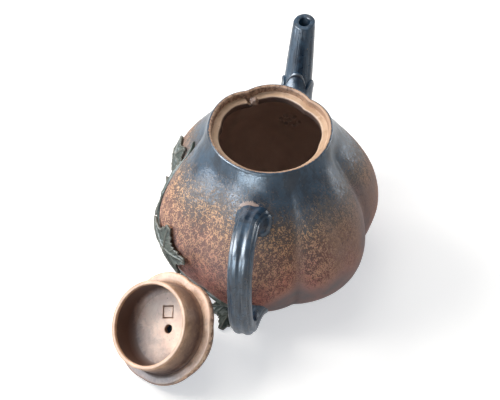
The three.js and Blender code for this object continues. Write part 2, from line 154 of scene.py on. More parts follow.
def throughPoints(points, steps, knot):
    # a smooth line through points: knot 0 spaces them evenly, 0.5 by the root of their distance
    if knot == 0:
        points = [points[0]] + points + [points[-1]]
    else:
        points = [2 * points[0] - points[1]] + points + [2 * points[-1] - points[-2]]
    line = []
    for i in range(1, len(points) - 2):
        a, b, c, d = points[i - 1:i + 3]
        ab, bc, cd = [max((q - p).length, 1e-6) ** knot for p, q in ((a, b), (b, c), (c, d))]
        start = ((b - a) / ab - (c - a) / (ab + bc) + (c - b) / bc) * bc
        end = ((c - b) / bc - (d - b) / (bc + cd) + (d - c) / cd) * bc
        for step in range(steps):
            t = step / steps
            line.append(b + start * t + (3 * (c - b) - 2 * start - end) * t * t
                        + (2 * (b - c) + start + end) * t * t * t)
    return line + [points[-2]]


class Line:
    # a line that is read by the share of its length
    reach = 0.008  # share of the length that a tangent looks ahead and back

    def __init__(self, points):
        self.points = points
        self.lengths = [0]
        for p, q in zip(points, points[1:]):
            self.lengths.append(self.lengths[-1] + (q - p).length)
        self.length = self.lengths[-1]

    def find(self, share):
        target = min(max(share, 0), 1) * self.length
        low, high = 0, len(self.points) - 1
        while high - low > 1:
            middle = (low + high) // 2
            if self.lengths[middle] <= target:
                low = middle
            else:
                high = middle
        return low, (target - self.lengths[low]) / max(self.lengths[high] - self.lengths[low], 1e-9)

    def at(self, share):
        if share < 0:
            return self.points[0] + self.tangent(0) * share * self.length
        if share > 1:
            return self.points[-1] + self.tangent(1) * (share - 1) * self.length
        low, rest = self.find(share)
        return self.points[low].lerp(self.points[low + 1], rest)

    def tangent(self, share):
        share = min(1, max(0, share))
        ahead = self.at(min(share + self.reach, 1))
        behind = self.at(max(share - self.reach, 0))
        return (ahead - behind).normalized()


def search(low, high, isBelow):
    # the number between low and high up to which isBelow holds
    for step in range(22):
        middle = (low + high) / 2
        if isBelow(middle):
            low = middle
        else:
            high = middle
    return low


def beside(line, bearing, share, x, n):
    # a point x across the upright plane that a line lies in, and n out from the line
    across = polar(bearing - 90, 1, 0)
    return line.at(share) + across * x + line.tangent(share).cross(across) * n


def betweenRibs(angle, ribs):
    # 1 between two ribs, 0 on one
    return 1 - abs(math.sin(ribs / 2 * angle))


def squared(angle, power):
    # a point on the unit circle, pushed towards a square by a power under 1
    return (math.copysign(abs(v) ** power, v) for v in (math.cos(angle), math.sin(angle)))


# the pot, in millimetres: its outside is the solids' own, but for how strong each groove is

pot = {
    "height": 78,
    "footRadius": 32,
    "bellyRadius": 49,
    "lipRadius": 25.6,
    "lipThickness": 1.4,
    "wall": 3,
    "baseRadius": 27,
    "baseThickness": 3.5,
    "recessDepth": 3.4,
    "seatThickness": 4,
    "grooveAngles": (56, 126, 181, 241, 298, 356),
    "grooveShares": ((0, 3), (0.35, 5), (0.68, 4.6), (1, 1.7)),  # share of the height, depth there
    "lobeFullness": 0.8,
    "grooveRounding": 0.14,
    "grooveStrengths": (1, 1, 1.35, 0.6, 0.95, 1.3),  # of each groove below the lip
    "lipStrengths": (1, 1.1, 0.12, 0.05, 0.03, 0.1),  # of each groove at the lip
    "lipFadeShares": (0.86, 0.995),  # shares of the height between which the one turns into the other
    "outlineShares": ((0.8, 0.05), (0.93, 0.17), (1, 0.35), (0.962, 0.52), (0.845, 0.685), (0.69, 0.83),
                      (0.58, 0.93)),  # share of the belly's radius, share of the height
    "slipBorders": ((181, 56), (198, 55), (207, 59), (228, 59), (250, 62), (264, 63), (284, 57), (298, 54),
                    (320, 59), (345, 56), (360, 57), (420, 60), (480, 58), (541, 56)),  # bearing, height
    "sprayShares": ((181, 0.3), (190, 0.35), (202, 1), (304, 1), (322, 0.35), (345, 0.15), (392, 0.4),
                    (445, 0.8), (510, 0.7), (541, 0.25)),  # bearing, how much of the warm spray lies there
    "wipedPlace": (-1.2, -36, 54.6),  # clay wiped clean over the handle's root, its height taken at 0.9
    "wipedReach": 7.1,
    "wipedAbove": 64.3,
    "bead": 0.75,  # height of the lip's round edge
    "baseGap": 0.3,
    "sags": ((0.22, 14, 1), (0.06, 4, 2)),  # depth, size and seed of the hand's unevenness
    "sagFade": (1, 8),  # how far from the foot and the lip it starts and is full
    "borderWander": 3.5,
    "borderWanderSize": 13,
    "sprayInGroove": 0.45,
    "sprayFades": (16, 30),  # height where the spray thins, left and right of the handle
    "sprayFadeBearings": (262, 292),
    "sprayFadeReach": (13, 3),  # below and above that height
    "sprayWander": 0.25,
    "sprayWanderSize": 12,
    "around": 252,
    "upwards": 96,
    "upwardsInside": 44,
    "beadSteps": 10,
}
seatTop = pot["height"] - pot["recessDepth"]
seatUnder = seatTop - pot["seatThickness"]
recessRadius = pot["lipRadius"] - pot["lipThickness"]
lipGroove = pot["grooveShares"][-1][1]
outline = Line(throughPoints(
    [Vector((pot["footRadius"], 0, 0))]
    + [Vector((r * pot["bellyRadius"], 0, z * pot["height"])) for r, z in pot["outlineShares"]]
    + [Vector((pot["lipRadius"], 0, pot["height"]))], 30, 0))


def inGroove(bearing, height=0):
    # 0 on a lobe's crest and a groove's own strength in its middle
    angles = pot["grooveAngles"]
    turned = (bearing - angles[0]) % 360 + angles[0]
    number = max(i for i, angle in enumerate(angles) if angle <= turned)
    end = angles[number + 1] if number + 1 < len(angles) else angles[0] + 360
    across = part(turned, angles[number], end)
    rise = math.sin(math.pi * across)
    soft = pot["grooveRounding"]
    rise = (math.sqrt(rise * rise + soft * soft) - soft) / (math.sqrt(1 + soft * soft) - soft)
    after = (number + 1) % len(angles)
    below, lip = (mix(strengths[number], strengths[after], ease(across, 0.3, 0.7))
                  for strengths in (pot["grooveStrengths"], pot["lipStrengths"]))
    strength = mix(below, lip, ease(height / pot["height"], *pot["lipFadeShares"]))
    return (1 - rise ** pot["lobeFullness"]) * strength


def grooveDepth(height):
    return readTable(pot["grooveShares"], min(1, max(0, height / pot["height"])))


def byBearing(table, bearing):
    # reads a table of (bearing, number) pairs that runs all the way round
    return readTable(table, (bearing - table[0][0]) % 360 + table[0][0])


def shareAt(height):
    return search(0, 1, lambda share: outline.at(share).z < height)


heightSteps = 156
heightTable = [shareAt(pot["height"] * i / heightSteps) for i in range(heightSteps + 1)]


def wallRadius(bearing, height):
    # how far out the pot's outside is
    step = min(heightSteps - 0.001, max(0, height / pot["height"] * heightSteps))
    low = int(step)
    point = outline.at(mix(heightTable[low], heightTable[low + 1], step - low))
    return point.x - grooveDepth(height) * inGroove(bearing, height)


def outside(point):
    # how far a point lies outside the pot's wall, measured level
    bearing = math.degrees(math.atan2(point.y, point.x))
    return math.hypot(point.x, point.y) - wallRadius(bearing, point.z)


def onPot(bearing, share, lift=0):
    def at(b, s):
        point = outline.at(min(1, max(0, s)))
        return polar(b, point.x - grooveDepth(point.z) * inGroove(b, point.z), point.z)
    middle = at(bearing, share)
    if lift == 0:
        return middle
    normal = (at(bearing + 1, share) - at(bearing - 1, share)).cross(
        at(bearing, share + 0.01) - at(bearing, share - 0.01))
    return middle + normal.normalized() * lift


def moved(lift, low, high, steps, mark):
    # loop points along the outline, moved out by lift
    points = []
    for step in range(steps + 1):
        share = mix(low, high, step / steps)
        point = outline.at(share)
        tangent = outline.tangent(share)
        points.append((point.x + tangent.z * lift, point.z - tangent.x * lift, grooveDepth(point.z), mark))
    return points


def straight(start, end, steps):
    # loop points on a straight line, without the last
    return [tuple(mix(a, b, step / steps) for a, b in zip(start, end)) for step in range(steps)]


def spun(loop, steps, lobesAt=None):
    # turns a closed loop of (radius, height, groove, mark) points about the axis and presses the
    # grooves in, as strong as at each point's own height, or all as strong as at the height lobesAt
    bm = bmesh.new()
    groove = bm.verts.layers.float.new("groove")
    mark = bm.verts.layers.float.new("mark")
    verts = []
    for radius, height, depth, number in loop:
        vert = bm.verts.new((radius, 0, height))
        vert[groove] = depth
        vert[mark] = number
        verts.append(vert)
    edges = [bm.edges.new(pair) for pair in zip(verts, verts[1:] + verts[:1])]
    bmesh.ops.spin(bm, geom=verts + edges, cent=(0, 0, 0), axis=(0, 0, 1), angle=math.tau,
                   steps=steps, use_merge=True)
    bmesh.ops.remove_doubles(bm, verts=bm.verts, dist=mergeGap)
    for vert in bm.verts:
        radius = math.hypot(vert.co.x, vert.co.y)
        if radius > 0.01 and vert[groove] > 0:
            bearing = math.degrees(math.atan2(vert.co.y, vert.co.x))
            height = vert.co.z if lobesAt is None else lobesAt
            pressed = min(radius, vert[groove] * inGroove(bearing, height))
            vert.co.x *= 1 - pressed / radius
            vert.co.y *= 1 - pressed / radius
    return bm


# finishes: patterns read the piece's own coordinates, turned into millimetres

class Finish:
    def __init__(self, name, roughness, specular):
        self.material = bpy.data.materials.new(name)
        self.material.use_nodes = True
        self.tree = self.material.node_tree
        self.shader = self.tree.nodes["Principled BSDF"]
        self.shader.inputs["Roughness"].default_value = roughness
        self.shader.inputs["Specular IOR Level"].default_value = specular
        place = self.add("ShaderNodeTexCoord").outputs["Object"]
        self.point = self.stretched((1 / mm, 1 / mm, 1 / mm), place)
        split = self.add("ShaderNodeSeparateXYZ")
        self.join(split.inputs[0], self.point)
        self.x, self.y, self.z = split.outputs

    def add(self, kind):
        return self.tree.nodes.new(kind)

    def join(self, socket, value):
        if isinstance(value, bpy.types.NodeSocket):
            self.tree.links.new(value, socket)
        else:
            socket.default_value = value

    def stretched(self, scale, point=None):
        mapping = self.add("ShaderNodeMapping")
        self.join(mapping.inputs["Vector"], point or self.point)
        mapping.inputs["Scale"].default_value = scale
        return mapping.outputs["Vector"]

    def sum(self, kind, a, b):
        node = self.add("ShaderNodeMath")
        node.operation = kind
        self.join(node.inputs[0], a)
        self.join(node.inputs[1], b)
        return node.outputs[0]

    def plus(self, a, b):
        return self.sum("ADD", a, b)

    def times(self, a, b):
        return self.sum("MULTIPLY", a, b)

    def noise(self, size, detail=3, rough=0.55, distort=0, point=None, seed=0):
        # 0 to 1, with features about this many millimetres across
        node = self.add("ShaderNodeTexNoise")
        node.noise_dimensions = "4D"
        self.join(node.inputs["Vector"], point or self.point)
        node.inputs["W"].default_value = seed
        node.inputs["Scale"].default_value = 1 / size
        node.inputs["Detail"].default_value = detail
        node.inputs["Roughness"].default_value = rough
        node.inputs["Distortion"].default_value = distort
        return node.outputs[0]

    def crumbs(self, spacing):
        # distance to the nearest of many scattered points, in shares of their spacing
        node = self.add("ShaderNodeTexVoronoi")
        self.join(node.inputs["Vector"], self.point)
        node.inputs["Scale"].default_value = 1 / spacing
        return node.outputs["Distance"]

    def between(self, value, low, high, toLow=0.0, toHigh=1.0):
        node = self.add("ShaderNodeMapRange")
        node.interpolation_type = "SMOOTHSTEP"
        for name, number in (("Value", value), ("From Min", low), ("From Max", high),
                             ("To Min", toLow), ("To Max", toHigh)):
            self.join(node.inputs[name], number)
        return node.outputs["Result"]

    def mixed(self, share, a, b):
        node = self.add("ShaderNodeMix")
        node.data_type = "RGBA"
        self.join(node.inputs[0], share)
        for socket, value in ((node.inputs[6], a), (node.inputs[7], b)):
            self.join(socket, (*value, 1) if isinstance(value, tuple) else value)
        return node.outputs[2]

    def ramp(self, value, *stops):
        node = self.add("ShaderNodeValToRGB")
        self.join(node.inputs[0], value)
        while len(node.color_ramp.elements) < len(stops):
            node.color_ramp.elements.new(0.5)
        for element, (place, colour) in zip(node.color_ramp.elements, stops):
            element.position = place
            element.color = (*colour, 1)
        return node.outputs["Color"]

    def mark(self, name):
        node = self.add("ShaderNodeAttribute")
        node.attribute_name = name
        return node.outputs["Fac"]

    def convexity(self):
        # above 0.5 on edges that stick out, below it in corners
        return self.add("ShaderNodeNewGeometry").outputs["Pointiness"]

    def colour(self, value):
        self.join(self.shader.inputs["Base Color"], value)

    def rough(self, value):
        self.join(self.shader.inputs["Roughness"], value)

    def bump(self, height, millimetres, under=None):
        node = self.add("ShaderNodeBump")
        node.inputs["Strength"].default_value = 1
        node.inputs["Distance"].default_value = millimetres * mm
        self.join(node.inputs["Height"], height)
        if under:
            self.join(node.inputs["Normal"], under)
        self.join(self.shader.inputs["Normal"], node.outputs["Normal"])
        return node.outputs["Normal"]


# colours are linear, sizes and heights are in millimetres, and between the numbers of a range a noise
# turns from none to all

blueSlip = {
    "deep": (0.006, 0.021, 0.043),
    "pale": (0.03, 0.072, 0.125),
    "paleEdge": (0.16, 0.17, 0.18),
    "speck": (0.2, 0.15, 0.09),
    "cloudSize": 4.5,
    "cloudRange": (0.4, 0.62),
    "speckSize": 0.9,
    "speckRange": (0.66, 0.74),
    "speckShare": 0.5,
    "wornRange": (1.1, 1.5),
    "paleEdgeShare": 0.55,
    "roughness": (0.26, 0.38),
    "onBodyRoughness": 0.29,
}
warmClay = {
    "gold": (0.71, 0.415, 0.21),
    "tan": (0.62, 0.31, 0.19),
    "pink": (0.67, 0.24, 0.18),
    # the foot's tone: partly the clay's own colour, partly painted shade
    "mauve": (0.27, 0.165, 0.15),
    "smoke": (0.19, 0.15, 0.148),
    "fleck": (0.11, 0.03, 0.02),
    "char": (0.075, 0.072, 0.06),
    "stain": (0.27, 0.07, 0.05),
    # painted shade deep in the grooves, strongest towards the foot
    "grooveShade": (0.07, 0.05, 0.05),
    "lip": (0.42, 0.25, 0.15),
    "wiped": (0.6, 0.42, 0.34),
    "toneHeights": {"mauve": 4, "pink": 22.4, "tan": 40, "gold": 56},
    "driftSize": 9,
    "drift": 7,  # how far those heights wander
    "goldSize": 0.8,
    "goldRange": (0.45, 0.62),
    "goldHeights": (14, 42),
    "goldShares": (0.2, 0.75),  # at those heights
    "stainSize": 3.2,
    "stainRange": (0.37, 0.6),
    "stainHeights": ((2, 14), (46, 22)),  # where stains come in from below and from above
    "stainShare": 0.85,
    "fleckSizes": (0.42, 1.5),
    "fleckShares": (0.62, 0.38),
    "fleckHeights": (14, 50),
    "fleckLevels": (0.54, 0.46),  # of the noise at those heights, over which it is dark
    "fleckRange": (-0.012, 0.026),
    "fleckShare": 0.9,
    "charRise": 0.012,  # for each millimetre over the slip's border
    "charRange": (0.385, 0.53),
    "charShare": 0.76,
    "slipRise": 0.015,
    "slipRange": (0.45, 0.66),
    "grainSizes": (0.4, 1.1),
    "grainShares": (0.6, 0.4),
    "grooveShadeHeights": (34, 8),
    "grooveShadeShare": 0.5,
    "lipRange": (0.4, 0.56),
    "wipedShare": 0.9,
    "roughness": 0.82,
}
innerClay = {
    "dark": (0.4, 0.29, 0.24),
    "pale": (0.62, 0.47, 0.39),
    # the lip's inner wall: a real mottle, darkened partly as painted shade in the recess
    "lipDark": (0.17, 0.09, 0.055),
    "lipPale": (0.55, 0.35, 0.23),
    "lipHeights": (68, 76),
    # painted light: the lip's inner wall paler to the right, the side the light falls on
    "lipPaintedLight": 0.22,  # to the right
}
wipedClay = {
    "dark": (0.56, 0.33, 0.2),
    "pale": (0.8, 0.52, 0.35),
    "ledgeDark": (0.52, 0.34, 0.215),
    "ledgePale": (0.66, 0.47, 0.325),
    "lidDark": (0.74, 0.45, 0.3),
    "lidPale": (0.93, 0.67, 0.49),
    "lidBorder": (0.3, 0.17, 0.11),
    "stain": (0.36, 0.19, 0.12),
    # painted shade in corners
    "cornerShade": (0.2, 0.1, 0.065),
    # paler sticking-out edges: partly wear, partly a painted highlight
    "paleEdge": (0.84, 0.64, 0.46),
    # painted shade: a tone for hollows and low parts near the table, and a deeper one
    "paintedShade": (0.17, 0.095, 0.07),
    "paintedDeepShade": (0.07, 0.035, 0.027),
    "speck": (0.14, 0.07, 0.045),
    "cloudSize": 7,
    "stainSize": 4.5,
    "stainShare": 0.45,
    "cornerShadeShare": 0.75,
    "paleEdgeShare": 0.4,
    "paintedShadeShare": 0.8,
    "paintedShadeHeights": (17, 7),
    "speckSpacing": 1.7,
    "speckShare": 0.7,
}
greenClay = {
    "dark": (0.024, 0.038, 0.029),
    "pale": (0.066, 0.084, 0.065),
    # painted highlight: veins, leaf edges and the vine's strands paler, as where they catch the light
    "raised": (0.22, 0.2, 0.165),
    "raisedShare": 0.45,
    "cloudSize": 4,
}


def blueTones(finish):
    # the slip's own colour, clouded and lightly specked
    stretched = finish.stretched((1, 1, 0.4))
    cloud = finish.noise(blueSlip["cloudSize"], detail=6, rough=0.7, distort=0.5, point=stretched, seed=3)
    blue = finish.mixed(finish.between(cloud, *blueSlip["cloudRange"]), blueSlip["deep"], blueSlip["pale"])
    specks = finish.noise(blueSlip["speckSize"], detail=2, rough=0.5, distort=0.3, seed=31)
    specks = finish.times(finish.between(specks, *blueSlip["speckRange"]), blueSlip["speckShare"])
    return finish.mixed(specks, blue, blueSlip["speck"])


def blend(finish, patterns, shares):
    # two patterns in these shares
    return finish.plus(*(finish.times(pattern, share) for pattern, share in zip(patterns, shares)))


def clayTones(finish, above, spray):
    # warm clay, cooler towards the foot and darker there, partly as painted shade, with gold crumbs, red
    # stains, dark flecks and char near the slip
    drift = finish.noise(warmClay["driftSize"], rough=0.6, seed=8)
    wander = finish.between(drift, 0.3, 0.7, -warmClay["drift"], warmClay["drift"])
    height = finish.times(finish.plus(finish.z, wander), 1 / pot["height"])
    clay = finish.ramp(height, *((at / pot["height"], warmClay[tone])
                                 for tone, at in warmClay["toneHeights"].items()))
    smoke = finish.mixed(finish.between(drift, 0.35, 0.7), warmClay["smoke"], warmClay["mauve"])
    clay = finish.mixed(spray, smoke, clay)

    gold = finish.noise(warmClay["goldSize"], rough=0.6, distort=0.6, seed=11)
    gold = finish.between(gold, *warmClay["goldRange"])
    goldBand = finish.between(finish.z, *warmClay["goldHeights"], *warmClay["goldShares"])
    clay = finish.mixed(finish.times(gold, finish.times(goldBand, spray)), clay, warmClay["gold"])

    stain = finish.noise(warmClay["stainSize"], detail=4, rough=0.65, distort=0.8, seed=17)
    stain = finish.times(finish.between(stain, *warmClay["stainRange"]), warmClay["stainShare"])
    for heights in warmClay["stainHeights"]:
        stain = finish.times(stain, finish.between(finish.z, *heights))
    stain = finish.times(stain, finish.between(spray, 0.3, 0.9))
    clay = finish.mixed(stain, clay, warmClay["stain"])

    dashes = finish.stretched((1, 1, 0.55))
    small, large = warmClay["fleckSizes"]
    fine = finish.noise(small, detail=2, rough=0.5, distort=0.2, point=dashes, seed=13)
    coarse = finish.noise(large, detail=2, rough=0.5, distort=0.6, point=dashes, seed=14)
    flecks = blend(finish, (fine, coarse), warmClay["fleckShares"])
    level = finish.between(finish.z, *warmClay["fleckHeights"], *warmClay["fleckLevels"])
    dark = finish.between(finish.sum("SUBTRACT", flecks, level), *warmClay["fleckRange"])
    dark = finish.times(dark, warmClay["fleckShare"])
    dark = finish.times(dark, finish.between(spray, 0.1, 0.8, 0.12, 1))
    clay = finish.mixed(dark, clay, warmClay["fleck"])

    char = finish.plus(finish.times(above, warmClay["charRise"]), flecks)
    char = finish.times(finish.between(char, *warmClay["charRange"]), warmClay["charShare"])
    return finish.mixed(char, clay, warmClay["char"])


def wipedPatch(finish, grain):
    # 1 where the clay over the handle's root was wiped clean
    root = finish.add("ShaderNodeVectorMath")
    root.operation = "DISTANCE"
    finish.join(root.inputs[0], finish.stretched((1, 1, 0.9)))
    root.inputs[1].default_value = pot["wipedPlace"]
    reach = finish.plus(root.outputs["Value"], finish.between(grain, 0.3, 0.7, -0.9, 0.9))
    near = finish.between(reach, pot["wipedReach"] + 0.5, pot["wipedReach"] - 0.3)
    return finish.times(near, finish.between(finish.z, pot["wipedAbove"], pot["wipedAbove"] + 0.8))


def makeBodyFinish():
    # blue slip sprayed from the neck down, breaking up over warm, flecked clay
    finish = Finish("speckled_body", 0.4, 0.42)
    small, large = warmClay["grainSizes"]
    fine = finish.noise(small, detail=2, rough=0.6, distort=0.3, seed=5)
    coarse = finish.noise(large, rough=0.6, distort=0.6, seed=6)
    grain = blend(finish, (fine, coarse), warmClay["grainShares"])
    above = finish.mark("slip")  # millimetres over the slip's border
    clay = clayTones(finish, above, finish.mark("spray"))
    slip = finish.plus(finish.times(above, warmClay["slipRise"]), grain)
    slip = finish.between(slip, *warmClay["slipRange"])
    colour = finish.mixed(slip, clay, blueTones(finish))

    # painted shade deep in the grooves, none above the lower half and strongest near the foot
    grooveShade = finish.between(finish.mark("groove"), 0.8, 1)
    grooveShade = finish.times(grooveShade, finish.between(finish.z, *warmClay["grooveShadeHeights"]))
    colour = finish.mixed(finish.times(grooveShade, warmClay["grooveShadeShare"]), colour, warmClay["grooveShade"])
    lip = finish.plus(finish.mark("mark"), finish.between(grain, 0.3, 0.7, -0.12, 0.12))
    colour = finish.mixed(finish.between(lip, *warmClay["lipRange"]), colour, warmClay["lip"])
    wiped = finish.times(wipedPatch(finish, grain), warmClay["wipedShare"])
    finish.colour(finish.mixed(wiped, colour, warmClay["wiped"]))
    finish.rough(finish.between(slip, 0, 1, warmClay["roughness"], blueSlip["onBodyRoughness"]))
    soft = finish.bump(finish.noise(5, rough=0.5, seed=21), 0.25)
    finish.bump(grain, 0.06, soft)
    return finish.material


def makeInsideFinish():
    finish = Finish("inside_clay", 0.62, 0.3)
    cloud = finish.noise(8, detail=4, rough=0.6, seed=2)
    clay = finish.mixed(cloud, innerClay["dark"], innerClay["pale"])
    # the lip's inner wall: painted shade over a real mottle, paler to the right as painted light
    mottle = finish.noise(1.6, detail=4, rough=0.7, distort=0.5, seed=19)
    mottle = finish.plus(mottle, finish.between(finish.x, -4, 22, 0, innerClay["lipPaintedLight"]))
    lip = finish.mixed(finish.between(mottle, 0.35, 0.65), innerClay["lipDark"], innerClay["lipPale"])
    finish.colour(finish.mixed(finish.between(finish.z, *innerClay["lipHeights"]), clay, lip))
    finish.bump(finish.noise(1.2, detail=4, rough=0.6, seed=4), 0.15)
    return finish.material


def bareTones(finish, dark="dark", pale="pale"):
    # wiped clay with iron specks and stains; painted shade in corners, where a mark is below 0
    # and low down near the table; edges paler, partly wear and partly a painted highlight
    cloud = finish.noise(wipedClay["cloudSize"], detail=4, rough=0.6, seed=6)
    clay = finish.mixed(finish.between(cloud, 0.35, 0.7), wipedClay[dark], wipedClay[pale])
    stain = finish.noise(wipedClay["stainSize"], detail=5, rough=0.7, distort=0.6, seed=22)
    stained = finish.between(stain, 0.52, 0.74, 0, wipedClay["stainShare"])
    clay = finish.mixed(stained, clay, wipedClay["stain"])
    # painted shade in concave corners
    cornerShade = finish.times(finish.between(finish.convexity(), 0.5, 0.44), wipedClay["cornerShadeShare"])
    clay = finish.mixed(cornerShade, clay, wipedClay["cornerShade"])
    # edges that stick out paler, partly wear and partly a painted highlight
    paleEdge = finish.times(finish.between(finish.convexity(), 0.51, 0.58), wipedClay["paleEdgeShare"])
    clay = finish.mixed(paleEdge, clay, wipedClay["paleEdge"])
    # painted shade, from a mark below 0 and from a low height, a little uneven
    paintedShade = finish.plus(finish.mark("mark"), finish.between(stain, 0.3, 0.7, 0.2, -0.2))
    paintedShade = finish.plus(paintedShade, finish.between(finish.z, *wipedClay["paintedShadeHeights"], 0, -1))
    for tone, low, high in (("paintedShade", -0.15, -1), ("paintedDeepShade", -0.9, -1.5)):
        smoke = finish.between(paintedShade, low, high, 0, wipedClay["paintedShadeShare"])
        clay = finish.mixed(smoke, clay, wipedClay[tone])
    specks = finish.between(finish.crumbs(wipedClay["speckSpacing"]), 0.16, 0.08)
    specks = finish.times(specks, finish.between(finish.noise(3, seed=7), 0.5, 0.62))
    return finish.mixed(finish.times(specks, wipedClay["speckShare"]), clay, wipedClay["speck"])


def bareSkin(finish):
    # soft hollows and a fine grain
    soft = finish.bump(finish.noise(4, rough=0.5, seed=9), 0.2)
    finish.bump(finish.noise(0.5, detail=2, rough=0.6, seed=10), 0.05, soft)


def makeBareFinish(name, *tones):
    finish = Finish(name, 0.55, 0.35)
    finish.colour(bareTones(finish, *tones))
    bareSkin(finish)
    return finish.material


def makeLidFinish():
    # bare underneath, blue slip over the dome, a ragged border along the rim
    finish = Finish("lid_clay", 0.53, 0.36)
    ragged = finish.between(finish.noise(2, detail=4, rough=0.65, seed=18), 0.3, 0.7, -0.25, 0.25)
    border = finish.plus(finish.mark("mark"), ragged)
    clay = bareTones(finish, "lidDark", "lidPale")
    colour = finish.mixed(finish.between(border, 0.22, 0.45), clay, wipedClay["lidBorder"])
    finish.colour(finish.mixed(finish.between(border, 0.62, 0.74), colour, blueTones(finish)))
    bareSkin(finish)
    return finish.material


def makeSlipFinish(name, specular):
    # glossy blue slip, rubbed pale along the ridges
    finish = Finish(name, 0.28, specular)
    rub = finish.noise(2.2, detail=4, rough=0.6, seed=12)
    paleEdge = finish.plus(finish.mark("ridge"), finish.times(rub, 0.8))
    paleEdge = finish.times(finish.between(paleEdge, *blueSlip["wornRange"]), blueSlip["paleEdgeShare"])
    finish.colour(finish.mixed(paleEdge, blueTones(finish), blueSlip["paleEdge"]))
    finish.rough(finish.between(rub, 0.3, 0.7, *blueSlip["roughness"]))
    finish.bump(finish.noise(1.6, rough=0.6, seed=14), 0.06)
    return finish.material


def makeLeafFinish():
    finish = Finish("leaf_clay", 0.5, 0.4)
    cloud = finish.noise(greenClay["cloudSize"], detail=4, rough=0.6, seed=15)
    green = finish.mixed(finish.between(cloud, 0.35, 0.7), greenClay["dark"], greenClay["pale"])
    # painted highlight on the raised veins, edges and strands
    raised = finish.between(finish.plus(finish.mark("ridge"), finish.times(cloud, 0.5)), 0.6, 1.2)
    finish.colour(finish.mixed(finish.times(raised, greenClay["raisedShare"]), green, greenClay["raised"]))
    finish.bump(finish.noise(0.8, rough=0.6, seed=16), 0.1)
    return finish.material


bodyFinish = makeBodyFinish()
insideFinish = makeInsideFinish()
bareFinish = makeBareFinish("bare_clay")
ledgeFinish = makeBareFinish("ledge_clay", "ledgeDark", "ledgePale")
lidFinish = makeLidFinish()
slipFinish = makeSlipFinish("blue_slip", 0.42)
handledSlipFinish = makeSlipFinish("handled_slip", 0.52)  # polished by the hand
leafFinish = makeLeafFinish()
print("finishes made")


# body: one wall from the foot over the lip and back down inside

def bodyLoop():
    hole = pot["baseRadius"] + pot["baseGap"]
    bead = pot["bead"]
    beadFrom = shareAt(pot["height"] - bead)
    edge = outline.at(beadFrom).x
    lipMiddle = (edge + recessRadius) / 2
    lipHalf = (edge - recessRadius) / 2
    loop = [(hole, 0, 0, 0), (mix(hole, pot["footRadius"], 0.5), 0, 1, 0)]
    loop += moved(0, 0, beadFrom, pot["upwards"], 0)
    for step in range(1, pot["beadSteps"]):
        inwards = step / pot["beadSteps"]
        angle = math.pi * inwards
        loop.append((lipMiddle + lipHalf * math.cos(angle), pot["height"] - bead + bead * math.sin(angle),
                     lipGroove, inwards))
    recessFoot = (recessRadius, seatUnder, lipGroove, 1)
    low, high = shareAt(pot["baseThickness"] + pot["wall"]), shareAt(seatUnder - pot["wall"])
    inner = moved(-pot["wall"], low, high, pot["upwardsInside"], 1)
    floorEdge = (hole, pot["baseThickness"], 0, 1)
    loop += straight((recessRadius, pot["height"] - bead, lipGroove, 1), recessFoot, 10)
    loop += straight(recessFoot, inner[-1], 4)
    loop += inner[::-1]
    loop += straight(inner[0], floorEdge, 5)[1:]
    return loop + [floorEdge]


def sagBody(bm):
    # the hand's unevenness, only ever inwards
    mark = bm.verts.layers.float["mark"]
    start, full = pot["sagFade"]
    for vert in bm.verts:
        if vert[mark] == 0 and start < vert.co.z < pot["height"] - start:
            sag = sum(depth * (1 + wobble(vert.co, size, seed)) for depth, size, seed in pot["sags"])
            sag *= ease(vert.co.z, start, full) * ease(pot["height"] - vert.co.z, start, full)
            vert.co -= vert.co.xy.normalized().to_3d() * sag


def markBody(bm):
    # keeps for the finish how deep in a groove a point is, how far over the slip's border it lies and
    # how much warm spray it got
    groove = bm.verts.layers.float["groove"]
    slip = bm.verts.layers.float.new("slip")
    spray = bm.verts.layers.float.new("spray")
    for vert in bm.verts:
        bearing = math.degrees(math.atan2(vert.co.y, vert.co.x))
        vert[groove] = inGroove(bearing) * ease(vert[groove], 0, 2)
        wander = pot["borderWander"] * wobble(vert.co, pot["borderWanderSize"], 3)
        vert[slip] = vert.co.z - byBearing(pot["slipBorders"], bearing) + wander
        warm = byBearing(pot["sprayShares"], bearing)
        warm *= mix(1, pot["sprayInGroove"], ease(vert[groove], 0.55, 1))
        fade = mix(*pot["sprayFades"], ease(bearing % 360, *pot["sprayFadeBearings"]))
        below, above = pot["sprayFadeReach"]
        warm *= ease(vert.co.z, fade - below, fade + above)
        warm += pot["sprayWander"] * wobble(vert.co, pot["sprayWanderSize"], 4)
        vert[spray] = min(1, max(0, warm))


def makeBody():
    bm = spun(bodyLoop(), pot["around"])
    sagBody(bm)
    markBody(bm)
    mark = bm.verts.layers.float["mark"]
    for face in bm.faces:
        inside = sum(vert[mark] for vert in face.verts) / len(face.verts)
        face.material_index = 1 if inside > 0.5 else 0
    return makePiece("pot_body", bm, [bodyFinish, insideFinish], "pot", ["body_shell"])


body = makeBody()
print("body made")


# spout's line, calyx and strainer

spout = {
    "bearing": 89.4,
    "rootHeight": 38,
    "rootRadius": 7.2,
    "tipRadius": 4.1,
    "reach": 25.8,
    "tipDrop": 5,
    "bend": ((0.75, 0), (0.55, 0.6)),  # share of the reach and of the rise, for its two middle points
    "rootSunk": 1,  # how deep in the wall it starts
    "ribs": 9,
    "ribDepth": 0.4,
    "shallowestRib": 0.35,  # as a share of that depth
    "streak": 0.11,
    "boreRoot": 5.6,
    "boreTip": 2.1,
    "rim": 0.7,
    "sheetShares": (0.66, 0.74, 0.97),  # where its sheet turns to the rim, the bore and back to the root
    "around": 144,
    "along": 200,
}
collar = {
    "length": 22,
    "tilt": 10,
    "notch": 8,
    "scallops": 4,
    "thickness": 1.2,
    "edge": 0.8,
    "bead": 0.3,
    "sunk": 0.5,  # under the spout's skin
    "rootSunk": 0.8,
    "sheetShares": (0.7, 0.8, 0.97),  # where its sheet turns to the tip, the underside and back to the root
    "around": 160,
    "along": 90,
}
